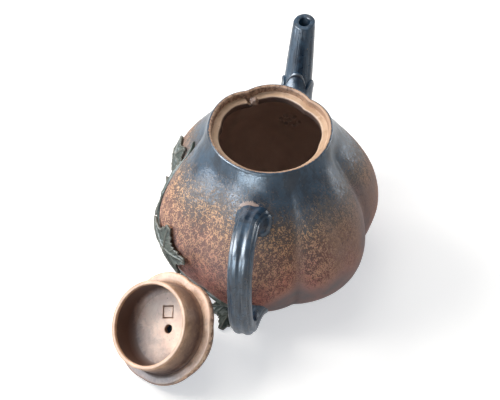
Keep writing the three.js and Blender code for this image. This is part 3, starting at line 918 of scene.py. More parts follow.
strainer = {
    "holes": 6,  # round the middle one
    "pitch": 3.9,
    "radius": 1,
    "radiusLuck": (0.85, 1.1),
    "placeLuck": 0.25,
    "drillLength": 14,
    "burr": 0.32,
    "burrUneven": 0.8,
    "burrOut": 0.8,  # from the hole's edge to the burr's middle, in burrs
    "burrTall": 1.3,
}


def bezier(a, b, c, d, steps):
    return [a * (1 - t) ** 3 + b * 3 * t * (1 - t) ** 2 + c * 3 * t * t * (1 - t) + d * t ** 3
            for t in (step / steps for step in range(steps + 1))]


def spoutPoint(out, height):
    return polar(spout["bearing"], wallRadius(spout["bearing"], spout["rootHeight"]) + out, height)


spoutTop = pot["height"] - spout["tipDrop"]
spoutLine = Line(bezier(
    spoutPoint(-2 * pot["wall"], spout["rootHeight"]),
    *(spoutPoint(out * spout["reach"], mix(spout["rootHeight"], spoutTop, rise))
      for out, rise in spout["bend"]),
    spoutPoint(spout["reach"] + spout["tipRadius"] / 2, spoutTop + spout["tipRadius"]), 90))


def spoutRadius(share):
    return mix(spout["tipRadius"], spout["rootRadius"], max(0, 1 - share) ** 0.6)


def aroundSpout(angle, share, radius):
    return beside(spoutLine, spout["bearing"], share, radius * math.cos(angle), radius * math.sin(angle))


def spoutSkin(angle, share):
    deep = mix(spout["shallowestRib"], 1, wobble(Vector((angle, 0, 0)), 0.7, 3) ** 2)
    rib = spout["ribDepth"] * betweenRibs(angle, spout["ribs"]) * deep
    streak = spout["streak"] * wobble(Vector((9 * math.cos(angle), 9 * math.sin(angle), 2 * share)), 1, 6)
    return aroundSpout(angle, share, spoutRadius(share) - (rib - streak) * ease(share, 0.99, 0.85))


def strainerHoles(luck, across, upwards):
    # radius and middle of each hole, a little out of place
    places = [(0, 0)]
    for number in range(strainer["holes"]):
        angle = math.tau * number / strainer["holes"]
        places.append((strainer["pitch"] * math.cos(angle), strainer["pitch"] * math.sin(angle)))
    astray = strainer["placeLuck"]
    for right, high in places:
        radius = strainer["radius"] * luck.uniform(*strainer["radiusLuck"])
        right += luck.uniform(-astray, astray)
        high += luck.uniform(-astray, astray)
        yield radius, spoutLine.at(0) + across * right + upwards * high


def drillStrainer():
    # seven holes through the wall behind the spout, with the burrs that the awl left inside
    along = spoutLine.tangent(0)
    across = polar(spout["bearing"] - 90, 1, 0)
    upwards = across.cross(along)
    turning = Matrix((across, upwards, along)).transposed().to_4x4()
    drill = bmesh.new()
    burrs = bmesh.new()
    luck = random.Random(5)
    for radius, centre in strainerHoles(luck, across, upwards):
        bmesh.ops.create_cone(drill, cap_ends=True, segments=20, radius1=radius, radius2=radius,
                              depth=strainer["drillLength"], matrix=Matrix.Translation(centre) @ turning)
        depth = search(-6, 8, lambda t: outside(centre + along * t) < -pot["wall"] * 1.02)
        seed = luck.uniform(0, 50)

        def burr(u, v):
            angle, roll = math.tau * u, math.tau * v
            place = Vector((2 * math.cos(angle), 2 * math.sin(angle), seed))
            lump = strainer["burr"] * (1 + strainer["burrUneven"] * wobble(place, 1))
            ring = radius + lump * (strainer["burrOut"] + math.cos(roll))
            return (centre + (across * math.cos(angle) + upwards * math.sin(angle)) * ring
                    + along * (depth - lump * strainer["burrTall"] * math.sin(roll)))
        ring = sheet(28, 8, burr)
        mesh = bpy.data.meshes.new("ring")
        ring.to_mesh(mesh)
        ring.free()
        burrs.from_mesh(mesh)
        bpy.data.meshes.remove(mesh)
    cutWith(body, drill, 1)
    addTo(body, burrs, 1)


drillStrainer()
print("strainer drilled")


# lid seat: a pale ledge inside the lip, with the nick that finds the lid's place

seat = {
    "mouthRadius": 21.5,
    "edge": 0.7,
    "nickWidth": 1.8,
    "nickDepth": 2,
    "nickGroove": 1,
    "nickFrom": 1.2,  # how far under the seat's top the nick still shows
    "lump": 2,  # radius of the crumb of clay beside the nick
    "lumpPast": 5.5,  # degrees past the nick
    "lumpPlace": (-0.6, -1.3),  # out from the mouth's edge, up from the seat's top
    "lumpUneven": 0.3,
    "lumpUnevenSize": 1.2,
    "overlap": 0.1,  # into the wall
    "shade": -1.6,  # mark of the dark faces inside and underneath
    "edgeShade": -1.3,
    "lumpShade": -0.9,
    "waver": 0.006,  # share of the radius by which the hand strayed
    "waverSize": 7,
    "waverFrom": 0.8,  # inside the recess's wall
    "rough": 0.12,
    "roughSize": 5,
    "gap": 0.45,  # between the points of its loop
    "around": 420,
}
base = {
    "underShares": ((0, 0.6), (0.6, 0.5), (0.86, 0.25)),  # share of the radius, height over the table
    "edgeSteps": ((-1.2, 0), (-0.2, 0.1), (0, 0.4)),  # out from the radius, height
    "topRounding": (0.4, 0.3),
    "insideFrom": 2,  # height over which a face is part of the pot's inside
    "gap": 2,
    "around": 120,
}


def seatLoop():
    inner, outer, edge, overlap = seat["mouthRadius"], recessRadius, seat["edge"], seat["overlap"]
    shade = seat["shade"]
    corners = [(inner + edge, seatTop, 0), (inner + 0.3 * edge, seatTop - 0.25 * edge, -0.2),
               (inner, seatTop - edge, seat["edgeShade"]), (inner + 0.1, (seatTop + seatUnder) / 2, shade),
               (inner + 0.3, seatUnder + edge, shade), (inner + edge, seatUnder, shade),
               (outer - overlap, seatUnder, shade), (outer + overlap, seatTop - 1, 0),
               (outer + overlap, seatTop + 0.5, 0), (outer - 0.3, seatTop + 0.12, 0)]
    loop = []
    for start, end in zip(corners, corners[1:] + corners[:1]):
        steps = max(1, round(math.dist(start[:2], end[:2]) / seat["gap"]))
        loop += straight((*start[:2], lipGroove, start[2]), (*end[:2], lipGroove, end[2]), steps)
    return loop


def makeSeat():
    bearing = pot["grooveAngles"][seat["nickGroove"]]
    towardsNick = polar(bearing, 1, 0)
    bm = spun(seatLoop(), seat["around"])
    for vert in bm.verts:
        if math.hypot(vert.co.x, vert.co.y) < recessRadius - seat["waverFrom"]:
            vert.co += vert.co * seat["waver"] * wobble(vert.co, seat["waverSize"], 5)
            height = vert.co.z + seat["rough"] * wobble(vert.co, seat["roughSize"], 6)
            vert.co.z = max(seatUnder, min(seatTop, height))
        ahead = vert.co.dot(towardsNick)
        if ahead > 0 and vert.co.z > seatTop - seat["nickFrom"]:
            off = (vert.co - towardsNick * ahead).to_2d().length
            vert.co.z -= seat["nickDepth"] * ease(off, 0.65 * seat["nickWidth"], 0.35 * seat["nickWidth"])
    lump = bmesh.new()
    bmesh.ops.create_icosphere(lump, subdivisions=4, radius=seat["lump"])
    mark = lump.verts.layers.float.new("mark")
    for vert in lump.verts:
        vert[mark] = seat["lumpShade"]
        vert.co *= 1 + seat["lumpUneven"] * wobble(vert.co, seat["lumpUnevenSize"], 8)
    out, up = seat["lumpPlace"]
    place = polar(bearing - seat["lumpPast"], seat["mouthRadius"] + out, seatTop + up)
    bmesh.ops.translate(lump, vec=place, verts=lump.verts)
    piece = makePiece("mouth_ledge", bm, [ledgeFinish], "pot", ["lid_seat"])
    addTo(piece, lump, 0)


makeSeat()


def makeBase():
    radius, thickness = pot["baseRadius"], pot["baseThickness"]
    inwards, down = base["topRounding"]
    corners = [(share * radius, height) for share, height in base["underShares"]]
    corners += [(radius + out, height) for out, height in base["edgeSteps"]]
    corners += [(radius, thickness - down), (radius - inwards, thickness), (0, thickness)]
    loop = []
    for start, end in zip(corners, corners[1:]):
        loop += straight((*start, 0, 0), (*end, 0, 0), max(1, round(math.dist(start, end) / base["gap"])))
    loop.append((*corners[-1], 0, 0))
    bm = spun(loop, base["around"])
    for face in bm.faces:
        face.material_index = 1 if face.calc_center_median().z > base["insideFrom"] else 0
    makePiece("pot_base", bm, [bareFinish, insideFinish], "pot", ["base_disc"])


makeBase()
print("seat and base made")


# spout

def makeSpout():
    roots, tips, bores = {}, {}, {}
    rimHeight = spoutTop - spout["rim"]
    skinEnd, rimEnd, boreEnd = spout["sheetShares"]
    deep = -spout["rootSunk"]

    def boreSkin(angle, share):
        return aroundSpout(angle, share, mix(spout["boreRoot"], spout["boreTip"], share))

    def place(u, v):
        angle = math.tau * (u % 1)
        if angle not in roots:
            roots[angle] = search(-0.1, 0.5, lambda share: outside(spoutSkin(angle, share)) < deep)
            tips[angle] = search(0.6, 1.1, lambda share: spoutSkin(angle, share).z < rimHeight)
            bores[angle] = search(0.6, 1.1, lambda share: boreSkin(angle, share).z < rimHeight)
        root, tip, bore = roots[angle], tips[angle], bores[angle]
        boreRoot = root + 0.01
        if v <= skinEnd:
            return spoutSkin(angle, mix(root, tip, v / skinEnd))
        if v <= rimEnd:
            turn = math.pi * part(v, skinEnd, rimEnd)
            point = spoutSkin(angle, tip).lerp(boreSkin(angle, bore), (1 - math.cos(turn)) / 2)
            point.z += spout["rim"] * math.sin(turn)
            return point
        if v <= boreEnd:
            return boreSkin(angle, mix(bore, boreRoot, part(v, rimEnd, boreEnd)))
        return boreSkin(angle, boreRoot).lerp(spoutSkin(angle, root), part(v, boreEnd, 1))

    def ridge(u, v):
        onRim = math.exp(-((v - (skinEnd + rimEnd) / 2) / 0.02) ** 2)
        return 0.45 * (1 - betweenRibs(math.tau * u, spout["ribs"])) + 0.4 * onRim
    bm = sheet(spout["around"], spout["along"], place, ridge)
    makePiece("spout_stalk", bm, [slipFinish], "pot", ["spout"])


def makeCollar():
    roots = {}
    sunk = collar["sunk"]
    skinEnd, tipEnd, underEnd = collar["sheetShares"]
    deep = -collar["rootSunk"]

    def reach(angle):
        farSide = (1 + math.sin(angle)) / 2
        between = (1 - abs(math.cos(collar["scallops"] / 2 * (angle + math.pi / 2)))) ** 1.5
        return (2 * pot["wall"] + collar["length"] - collar["tilt"] * farSide
                - collar["notch"] * between) / spoutLine.length

    def lift(share, tip):
        left = (tip - share) * spoutLine.length
        bead = collar["bead"] * math.exp(-((left - 0.9) / 0.6) ** 2)
        return mix(collar["thickness"], collar["edge"], min(1, max(0, share / tip))) + bead

    def skin(angle, share, out):
        return aroundSpout(angle, share, spoutRadius(share) + out)

    def place(u, v):
        angle = math.tau * (u % 1)
        tip = reach(angle)
        if angle not in roots:
            roots[angle] = search(-0.1, 0.5, lambda share: outside(skin(angle, share, 1)) < deep)
        root = roots[angle]
        if v <= skinEnd:
            share = mix(root, tip, v / skinEnd)
            return skin(angle, share, lift(share, tip))
        if v <= tipEnd:
            turn = part(v, skinEnd, tipEnd) * math.pi / 2
            share = tip + 0.4 * math.sin(turn) / spoutLine.length
            return skin(angle, share, (lift(tip, tip) + sunk) * math.cos(turn) - sunk)
        if v <= underEnd:
            return skin(angle, mix(tip, root, part(v, tipEnd, underEnd)), -sunk)
        return skin(angle, root, -sunk).lerp(skin(angle, root, lift(root, tip)), part(v, underEnd, 1))

    def ridge(u, v):
        return math.exp(-((v - 0.68) / 0.06) ** 2)
    bm = sheet(collar["around"], collar["along"], place, ridge)
    makePiece("spout_calyx", bm, [slipFinish], "pot", ["spout_collar"])


makeSpout()
makeCollar()
print("spout made")


# handle: a ribbed stem that swells into the wall at both ends

handle = {
    "bearing": 271.2,
    "topHeight": 61,
    "lowHeight": 13.5,
    "reach": 15.7,
    "width": 9.8,
    "thickness": 7,
    "rootWidth": 14,
    "rootThickness": 13,
    "grooves": ((47, 0.16, 4), (89, 0.75, 6), (109, 0.6, 8), (163, 0.35, 7), (218, 0.5, 9), (270, 0.6, 9),
                (322, 0.5, 9)),  # turned from its left side, depth, half width in degrees
    "shares": ((0.22, 1.13), (0.5, 1.23), (0.78, 1.2), (0.94, 1.06), (1, 0.84), (0.97, 0.5), (0.85, 0.22),
               (0.63, 0.03)),  # out from the top root, up from the low one
    "squareness": 0.8,  # 1 is an oval section
    "rootSunk": 1,
    "rootReach": 5,  # the higher, the shorter the stretch that swells at each root
    "rootGrooves": 0.5,  # as a share of their depth
    "fillet": 1.1,
    "filletReach": 1.3,
    "unevenness": 0.08,
    "around": 160,
    "along": 200,
}
handleTop = wallRadius(handle["bearing"], handle["topHeight"])
handleLow = wallRadius(handle["bearing"], handle["lowHeight"])
handleLine = Line(throughPoints(
    [polar(handle["bearing"], handleTop - pot["wall"], handle["topHeight"] - pot["wall"])]
    + [polar(handle["bearing"], mix(handleTop, pot["bellyRadius"] + handle["reach"], out),
             mix(handle["lowHeight"], handle["topHeight"], rise)) for out, rise in handle["shares"]]
    + [polar(handle["bearing"], handleLow - pot["wall"], handle["lowHeight"])], 16, 0.5))


def handleGroove(angle, wider=1):
    # how deep the grooves are there
    turned = math.degrees(angle) % 360
    return max(depth * math.exp(-((turned - middle) / (wider * halfWidth)) ** 2)
               for middle, depth, halfWidth in handle["grooves"])


def handleSection(angle, share, lift=0):
    atRoot = min(1, abs(2 * share - 1)) ** handle["rootReach"]
    lift -= handleGroove(angle) * mix(1, handle["rootGrooves"], atRoot)
    halfWidth = mix(handle["width"], handle["rootWidth"], atRoot) / 2 + lift
    halfThickness = mix(handle["thickness"], handle["rootThickness"], atRoot) / 2 + lift
    x, n = squared(angle, handle["squareness"])
    return beside(handleLine, handle["bearing"], share, halfWidth * x, halfThickness * n)


def makeHandle():
    tops, lows = {}, {}
    deep = -handle["rootSunk"]

    def place(u, v):
        angle = math.tau * (u % 1)
        if angle not in tops:
            tops[angle] = search(-0.12, 0.4, lambda share: outside(handleSection(angle, share)) < deep)
            lows[angle] = search(0.7, 1.12, lambda share: outside(handleSection(angle, share)) > deep)
        if v == 0 or v == 1:
            return handleLine.at(0.01 if v == 0 else 0.99)
        share = mix(tops[angle], lows[angle], (v - 0.005) / 0.99)
        away = max(0, outside(handleSection(angle, share)))
        fillet = handle["fillet"] * math.exp(-away / handle["filletReach"])
        uneven = handle["unevenness"] * wobble(handleLine.at(share), 6, 9)
        return handleSection(angle, share, fillet + uneven)

    def ridge(u, v):
        return math.exp(-((handleGroove(math.tau * u, 1.8) - 0.3) / 0.1) ** 2)
    bm = sheet(handle["around"], handle["along"], place, ridge)
    makePiece("ear_handle", bm, [handledSlipFinish], "pot", ["handle"])


makeHandle()
print("handle made")


# vine and leaves

vine = {
    "radius": 1.2,
    "sunk": 1.5,
    "shares": ((261, 0.12), (250, 0.1), (238, 0.1), (225, 0.11), (213, 0.16), (204, 0.26), (199, 0.38),
               (197, 0.51), (193, 0.63), (184, 0.73), (176, 0.77)),  # bearing, share of the pot's height
    "lift": 0.3,
    "taper": 0.72,
    "strands": 3,
    "strandDepth": 0.12,
    "twist": 26,  # radians from end to end
    "knots": 9,
    "knot": 0.27,
    "knotLength": 0.09,  # as a share of the way to the next
    "roughness": 0.12,
    "ends": 60,  # each end rounds off over one part in this many
    "around": 36,
    "along": 240,
}
leaves = {
    "length": 31,
    "thickness": 1.6,
    "edge": 0.8,
    "flare": 1.5,
    "bridge": 7,
    "sinus": 0.42,
    "tooth": 0.11,
    "teeth": 30,
    "lobes": 5,
    "veinHeight": 0.6,
    "veinWidth": 0.45,
    "sideVeins": 0.55,  # as a share of that height
    "sideVeinGap": 2.6,
    "sideVeinWidth": 0.13,  # as a share of that gap
    "sideVeinSlope": 0.9,
    "sideVeinFrom": 2,  # out from the leaf's middle
    "sideVeinReach": 0.6,  # off the main vein, for each millimetre along it
    "edgeHeight": 0.25,
    "hollow": 0.35,
    "roughness": 0.15,
    "sunk": 0.6,
    "around": 300,
    "outAndBack": 56,
    "onBody": {
        # bearing, share of the height, size, heading, flare
        "leaf_shoulder": (173, 0.6, 0.62, 302, 0.1),
        "leaf_flank": (219, 0.36, 1, 150, 0.5),
        "leaf_side": (183, 0.32, 0.74, 220, 0.9),
    },
    "foot": {"bearing": 258.8, "offset": 0.8, "heading": 254, "rise": 1.8, "size": 0.84},
}


def makeVine():
    lift = vine["lift"] + vine["radius"] - vine["sunk"]
    points = [onPot(bearing, shareAt(height * pot["height"]), lift) for bearing, height in vine["shares"]]
    line = Line(throughPoints(points, 14, 0.5))

    def strand(angle, v):
        return math.sin(vine["strands"] * angle + vine["twist"] * v)

    def place(u, v):
        angle = math.tau * (u % 1)
        if v == 0 or v == 1:
            return line.at(v)
        point, tangent = line.at(v), line.tangent(v)
        out = Vector((point.x, point.y, 0)).normalized()
        side = tangent.cross(out).normalized()
        out = side.cross(tangent)
        left = min(v, 1 - v) * vine["ends"]
        radius = vine["radius"] * mix(1, vine["taper"], v) * min(1, left ** 0.5)
        radius += vine["knot"] * math.exp(-(((v * vine["knots"]) % 1 - 0.5) / vine["knotLength"]) ** 2)
        radius += vine["strandDepth"] * strand(angle, v) + vine["roughness"] * wobble(point, 3, 4)
        return point + (out * math.sin(angle) + side * math.cos(angle)) * radius
    bm = sheet(vine["around"], vine["along"], place, lambda u, v: 0.25 + 0.3 * strand(math.tau * u, v))
    makePiece("vine_stem", bm, [leafFinish], "pot", ["vine"])


def vein(out, angle):
    # 1 on a lobe's main vein, less on the side veins that leave it
    best = 0
    for number in range(leaves["lobes"]):
        lobe = math.tau * number / leaves["lobes"]
        along = out * math.cos(angle - lobe)
        off = abs(out * math.sin(angle - lobe))
        if along > 0:
            best = max(best, math.exp(-(off / leaves["veinWidth"]) ** 2))
            step = ((along - leaves["sideVeinSlope"] * off) / leaves["sideVeinGap"]) % 1
            if along > leaves["sideVeinFrom"] and off < along * leaves["sideVeinReach"]:
                onVein = math.exp(-((step - 0.5) / leaves["sideVeinWidth"]) ** 2)
                best = max(best, leaves["sideVeins"] * onVein)
    return best


def makeLeaf(name, length, drape):
    def shape(u, v):
        angle = math.tau * (u % 1)
        share = 1 - abs(2 * v - 1)
        lobed = 1 - leaves["sinus"] * abs(math.sin(leaves["lobes"] / 2 * angle))
        tooth = (u * leaves["teeth"]) % 1
        toothed = 1 - leaves["tooth"] * min(1, 2 * abs(tooth - 0.5)) * ease(share, 0.6, 1)
        return length / 2 * lobed * toothed * share, angle, share

    def place(u, v):
        out, angle, share = shape(u, v)
        if v > 0.5:
            return drape(out, angle, share, mix(-leaves["sunk"], 0, share ** 2))
        lift = mix(leaves["thickness"], leaves["edge"], share) - leaves["hollow"] * (1 - share ** 6)
        lift += leaves["veinHeight"] * vein(out, angle) * ease(share, 1.02, 0.85)
        lift += leaves["edgeHeight"] * ease(share, 0.8, 0.97)
        lift += leaves["roughness"] * wobble(Vector((out, angle * 4, length)), 3, 2)
        return drape(out, angle, share, lift)

    def ridge(u, v):
        out, angle, share = shape(u, v)
        return max(vein(out, angle), ease(share, 0.82, 1)) if v < 0.52 else 0
    bm = sheet(leaves["around"], leaves["outAndBack"], place, ridge)
    makePiece(name + "_carved", bm, [leafFinish], "pot", [name])


def leafOnPot(bearing, height, size, heading, flare):
    middle = shareAt(height * pot["height"])
    middleRadius = wallRadius(bearing, height * pot["height"])

    def drape(out, angle, share, lift):
        turned = angle + math.radians(heading)
        around = math.degrees(out * math.sin(turned) / middleRadius)
        rise = out * math.cos(turned) / outline.length
        raised = 0.3 + lift + flare * leaves["flare"] * share ** 2
        b, s = bearing + around, middle + rise
        bridge = leaves["bridge"]
        flat = (onPot(b + bridge, s) - onPot(b - bridge, s)).cross(onPot(b, s + 0.01) - onPot(b, s - 0.01))
        return onPot(b, s) + flat.normalized() * raised
    return drape


def makeFootLeaf():
    foot = leaves["foot"]
    atBody = wallRadius(foot["bearing"], foot["rise"] + leaves["thickness"])
    middle = polar(foot["bearing"], atBody + foot["offset"], 0.3)

    def drape(out, angle, share, lift):
        rise = foot["rise"] * (1 - share ** 2)
        return polar(foot["heading"] - math.degrees(angle), out, max(0, lift + rise)) + middle
    makeLeaf("leaf_foot", foot["size"] * leaves["length"], drape)


makeVine()
for name, (bearing, height, size, heading, flare) in leaves["onBody"].items():
    makeLeaf(name, size * leaves["length"], leafOnPot(bearing, height, size, heading, flare))
makeFootLeaf()
print("vine and leaves made")


# lid: lies upside down beside the pot, on its knob and its edge

lid = {
    "clearance": 0.5,
    "lobesAt": 0.93,  # share of the pot's height whose lobes the lid repeats
    "lobeShare": 0.8,
    "edge": 3.6,
    "crown": 8,
    "dish": 3.4,
    "dishRoot": 1.2,  # height of the dish's edge
    # a mark below 0 paints shade into the bare clay, the lower the darker
    # share of the dish's radius, share of its depth, mark
    "dishShares": ((0.28, 0.97, 0), (0.5, 0.9, 0), (0.7, 0.72, 0), (0.84, 0.52, -0.4)),
    # out from the ring, height, share of the lobes, mark
    "rootSteps": ((-0.5, 0.95, 0, -1), (0.3, 0.5, 0.4, -0.55), (1.3, 0.15, 1, -0.5)),
    # out from the lid's edge, height, mark
    "rimSteps": ((-1.6, 0, -0.35), (-0.8, 0, -0.1), (-0.25, 0.3, 0.1), (0, 1.2, 0.3)),
    # out from the lid's edge, up from the edge's height, mark
    "shoulderSteps": ((0, -1.2, 0.55), (-0.4, -0.1, 0.8)),
    # share of the lid's radius, share of the dome's rise
    "domeShares": ((0.9, 0.3), (0.72, 0.62), (0.5, 0.87), (0.32, 0.97)),
    "unevenness": 0.18,
    "around": 216,
    "flangeRadius": 19.4,
    "flangeWall": 1.7,
    "flangeTaper": 1,
    "flangeDepth": 11.6,
    # out from the dish's radius, height, mark
    "flangeInside": ((-3.3, 2.02, -0.3), (-1.8, 1.25, -0.6), (-0.7, 0.1, -1.1), (-0.15, -1.6, -1.5),
                     (-0.4, -6, -1.6)),
    # out from the ring's radius, height, mark
    "flangeOutside": ((-0.5, -5, -1.15), (-0.55, -1.8, -1.3), (-0.6, -0.4, -1.1), (-0.1, 0.6, -1.1)),
    # out from the dish's radius, height: these points are hidden in the lid
    "flangeRoot": ((1.5, 1.6), (-0.2, 2.6), (-3.3, 2.9)),
    "flangeLip": 0.9,  # how far from the lip's curve both sides end
    "flangeSquareness": 0.55,
    "flangeSteps": 12,
    "flangeAround": 180,
    "flangeWaver": 0.004,  # share of the radius by which the hand strayed at the lip
    "flangeWaverSize": 12,
    "flangeLumps": 0.16,
    "flangeLumpSize": 5,
    "vent": 1.9,
    "ventMark": 0.45,
    "stampWidth": 5.4,
    "stampLine": 0.55,
    "stampDepth": 0.4,
    "stampOffset": 7.2,
    "stampTurn": 3,
    "stampSurface": 3.1234,  # height of the dish where the stamp is
    "overrun": 2,
    "pad": 1,
    "padSunk": 0.62,  # from the dish to the middle of the pad
    "padBevel": 0.14,
    "padLumps": 0.22,
    "distance": 23.6,
    "bearing": 244.8,
    "height": 18.0274,
    "lean": 230,  # the way its underside leans
    "tilt": 40.662,
    "spin": 96,
}
knob = {
    "baseRadius": 7,
    "waistRadius": 4.1,
    "tipRadius": 5,
    "height": 10.7,
    "bore": 1.1,
    "ribs": 6,
    "ribDepth": 0.7,
    "ribSharpness": 1.6,
    "lean": 1,
    "sunk": 0.4,
    "standOff": 0.3,
    "around": 120,
}
lidRadius = recessRadius - lid["clearance"]
dishRadius = lid["flangeRadius"] - lid["flangeWall"]
lidPlace = (
    Matrix.Translation(polar(lid["bearing"], pot["bellyRadius"] + lid["distance"], lid["height"]))
    @ Matrix.Rotation(math.radians(180 + lid["tilt"]), 4, polar(lid["lean"] + 90, 1, 0))
    @ Matrix.Rotation(math.radians(lid["spin"]), 4, "Z"))


def rounded(corners):
    # a smooth run through corners of (radius, height, groove, mark), with six points to each
    run = throughPoints([Vector(corner) for corner in corners], 6, 0)
    return [tuple(point) for point in run]


def lidLoop():
    groove = lid["lobeShare"] * lipGroove
    under = [(lid["vent"], lid["dish"], 0, 0)]
    under += [(r * dishRadius, rise * lid["dish"], 0, mark) for r, rise, mark in lid["dishShares"]]
    # painted shade at the dish's edge, by a mark below 0
    under.append((dishRadius, lid["dishRoot"], 0, -0.8))
    over = [(lid["flangeRadius"] + out, height, share * groove, mark)
            for out, height, share, mark in lid["rootSteps"]]
    over += [(lidRadius + out, height, groove, mark) for out, height, mark in lid["rimSteps"]]
    over += [(lidRadius + out, lid["edge"] + up, groove, mark) for out, up, mark in lid["shoulderSteps"]]
    for r, rise in lid["domeShares"]:
        depth = groove * ease(r * lidRadius, knob["baseRadius"], lidRadius)
        over.append((r * lidRadius, mix(lid["edge"], lid["crown"], rise), depth, 1))
    over.append((lid["vent"], lid["crown"], 0, 1))
    loop = rounded(under) + rounded(over)
    return loop + straight(loop[-1], (*loop[0][:3], lid["ventMark"]), 6)[1:]


def placeStamp(bm, height):
    # turns a block and takes it to the stamp's place in the dish
    turn = Matrix.Rotation(math.radians(lid["stampTurn"]), 3, "Z")
    bmesh.ops.rotate(bm, matrix=turn, verts=bm.verts)
    bmesh.ops.translate(bm, vec=(0, lid["stampOffset"], height), verts=bm.verts)
    bmesh.ops.transform(bm, matrix=lidPlace, verts=bm.verts)


def stampLid(piece):
    # a square groove round a lumpy pad with nothing on it
    surface = lid["stampSurface"]
    width, depth, overrun = lid["stampWidth"], lid["stampDepth"], lid["overrun"]
    die = bmesh.new()
    bmesh.ops.create_cube(die, size=1)
    bmesh.ops.scale(die, vec=(width, width, overrun + depth), verts=die.verts)
    placeStamp(die, surface + (depth - overrun) / 2)
    cutWith(piece, die, 0)
    inner = width - 2 * lid["stampLine"]
    pad = bmesh.new()
    bmesh.ops.create_cube(pad, size=1)
    bmesh.ops.scale(pad, vec=(inner, inner, lid["pad"]), verts=pad.verts)
    bmesh.ops.bevel(pad, geom=pad.edges[:], offset=lid["padBevel"], offset_type="OFFSET", segments=3,
                    profile=0.5, material=-1, affect="EDGES")
    bmesh.ops.subdivide_edges(pad, edges=pad.edges[:], cuts=5, use_grid_fill=True)
    for vert in pad.verts:
        if vert.co.z < -0.45 * lid["pad"]:
            vert.co.z += lid["padLumps"] * wobble(vert.co, 0.8, 12)
    placeStamp(pad, surface + lid["padSunk"])
    addTo(piece, pad, 0)


def makeLidDisc():
    bm = spun(lidLoop(), lid["around"], lid["lobesAt"] * pot["height"])
    for vert in bm.verts:
        radius = math.hypot(vert.co.x, vert.co.y)
        if radius > lid["flangeRadius"] and vert.co.z < 2:
            uneven = lid["unevenness"] * wobble(vert.co, 6, 3) * ease(radius, lidRadius, lidRadius - 2)
            vert.co.z = max(0, vert.co.z + uneven)
    bmesh.ops.transform(bm, matrix=lidPlace, verts=bm.verts)
    piece = makePiece("lid_plate", bm, [lidFinish], "lid", ["lid_disc"])
    stampLid(piece)


def flangeLoop():
    rim = lid["flangeRadius"] - lid["flangeTaper"]
    half = lid["flangeWall"] / 2
    low = half - lid["flangeDepth"]
    # marks below 0 paint shade on the flange's walls
    inside = [(dishRadius + out, height, 0, mark) for out, height, mark in lid["flangeInside"]]
    inside.append((rim - lid["flangeWall"] + 0.02, low + lid["flangeLip"], 0, -1.4))
    lip = []
    for step in range(lid["flangeSteps"] + 1):
        x, z = squared(math.pi * step / lid["flangeSteps"], lid["flangeSquareness"])
        lip.append((rim - half - half * x, low - half * z, 0, 0.3))
    outer = [(rim + 0.05, low + lid["flangeLip"], 0, -0.5)]
    outer += [(lid["flangeRadius"] + out, height, 0, mark) for out, height, mark in lid["flangeOutside"]]
    root = [(dishRadius + out, height, 0, 0) for out, height in lid["flangeRoot"]]
    return rounded(inside) + lip + rounded(outer) + root


def makeLidFlange():
    low = lid["flangeWall"] / 2 - lid["flangeDepth"]
    bm = spun(flangeLoop(), lid["flangeAround"])
    for vert in bm.verts:
        waver = lid["flangeWaver"] * ease(vert.co.z, 0, low)
        vert.co.x *= 1 + waver * wobble(vert.co, lid["flangeWaverSize"], 6)
        vert.co.y *= 1 + waver * wobble(vert.co, lid["flangeWaverSize"], 7)
        if vert.co.z < low + 0.5:
            lump = lid["flangeLumps"] * (wobble(vert.co, lid["flangeLumpSize"], 8) + 0.5)
            vert.co.z = max(-lid["flangeDepth"], vert.co.z + lump)
    bmesh.ops.transform(bm, matrix=lidPlace, verts=bm.verts)
    makePiece("lid_ring", bm, [bareFinish], "lid", ["lid_flange"])


def knobLoop():
    crown, bore = lid["crown"], knob["bore"]
    wide, waist, tip = knob["baseRadius"], knob["waistRadius"], knob["tipRadius"]
    floor = crown - knob["sunk"]
    top = crown + knob["standOff"] + knob["height"]
    side = rounded([(wide + 0.4, floor, 0, 1), (wide - 0.3, crown + 0.5, 0, 1),
                    (mix(waist, wide, 0.3), crown + 1.9, 0, 1), (waist, crown + 4.6, 0, 1),
                    (mix(waist, tip, 0.6), top - 2.3, 0, 1), (tip, top - 0.6, 0, 1),
                    (tip - 0.6, top, 0, 1), (bore + 1.2, top - 0.1, 0, 1), (bore, top - 0.6, 0, 1)])
    foot = (bore, floor, 0, 1)
    return side + straight(side[-1], foot, 6) + [foot]


def makeKnob():
    bm = spun(knobLoop(), knob["around"])
    ridge = bm.verts.layers.float.new("ridge")
    for vert in bm.verts:
        radius = math.hypot(vert.co.x, vert.co.y)
        valley = betweenRibs(math.atan2(vert.co.y, vert.co.x), knob["ribs"])
        pressed = knob["ribDepth"] * valley ** knob["ribSharpness"]
        pressed *= ease(radius, knob["bore"], knob["waistRadius"])
        vert.co.x *= 1 - pressed / radius
        vert.co.y *= 1 - pressed / radius
        rise = min(1, max(0, (vert.co.z - lid["crown"]) / knob["height"]))
        vert.co.x += knob["lean"] * rise ** 2
        vert[ridge] = 1 - valley
    bmesh.ops.transform(bm, matrix=lidPlace, verts=bm.verts)
    makePiece("lid_stalk", bm, [slipFinish], "lid", ["lid_knob"])


makeLidDisc()
makeLidFlange()
makeKnob()
print("lid made")


# table, lights and camera

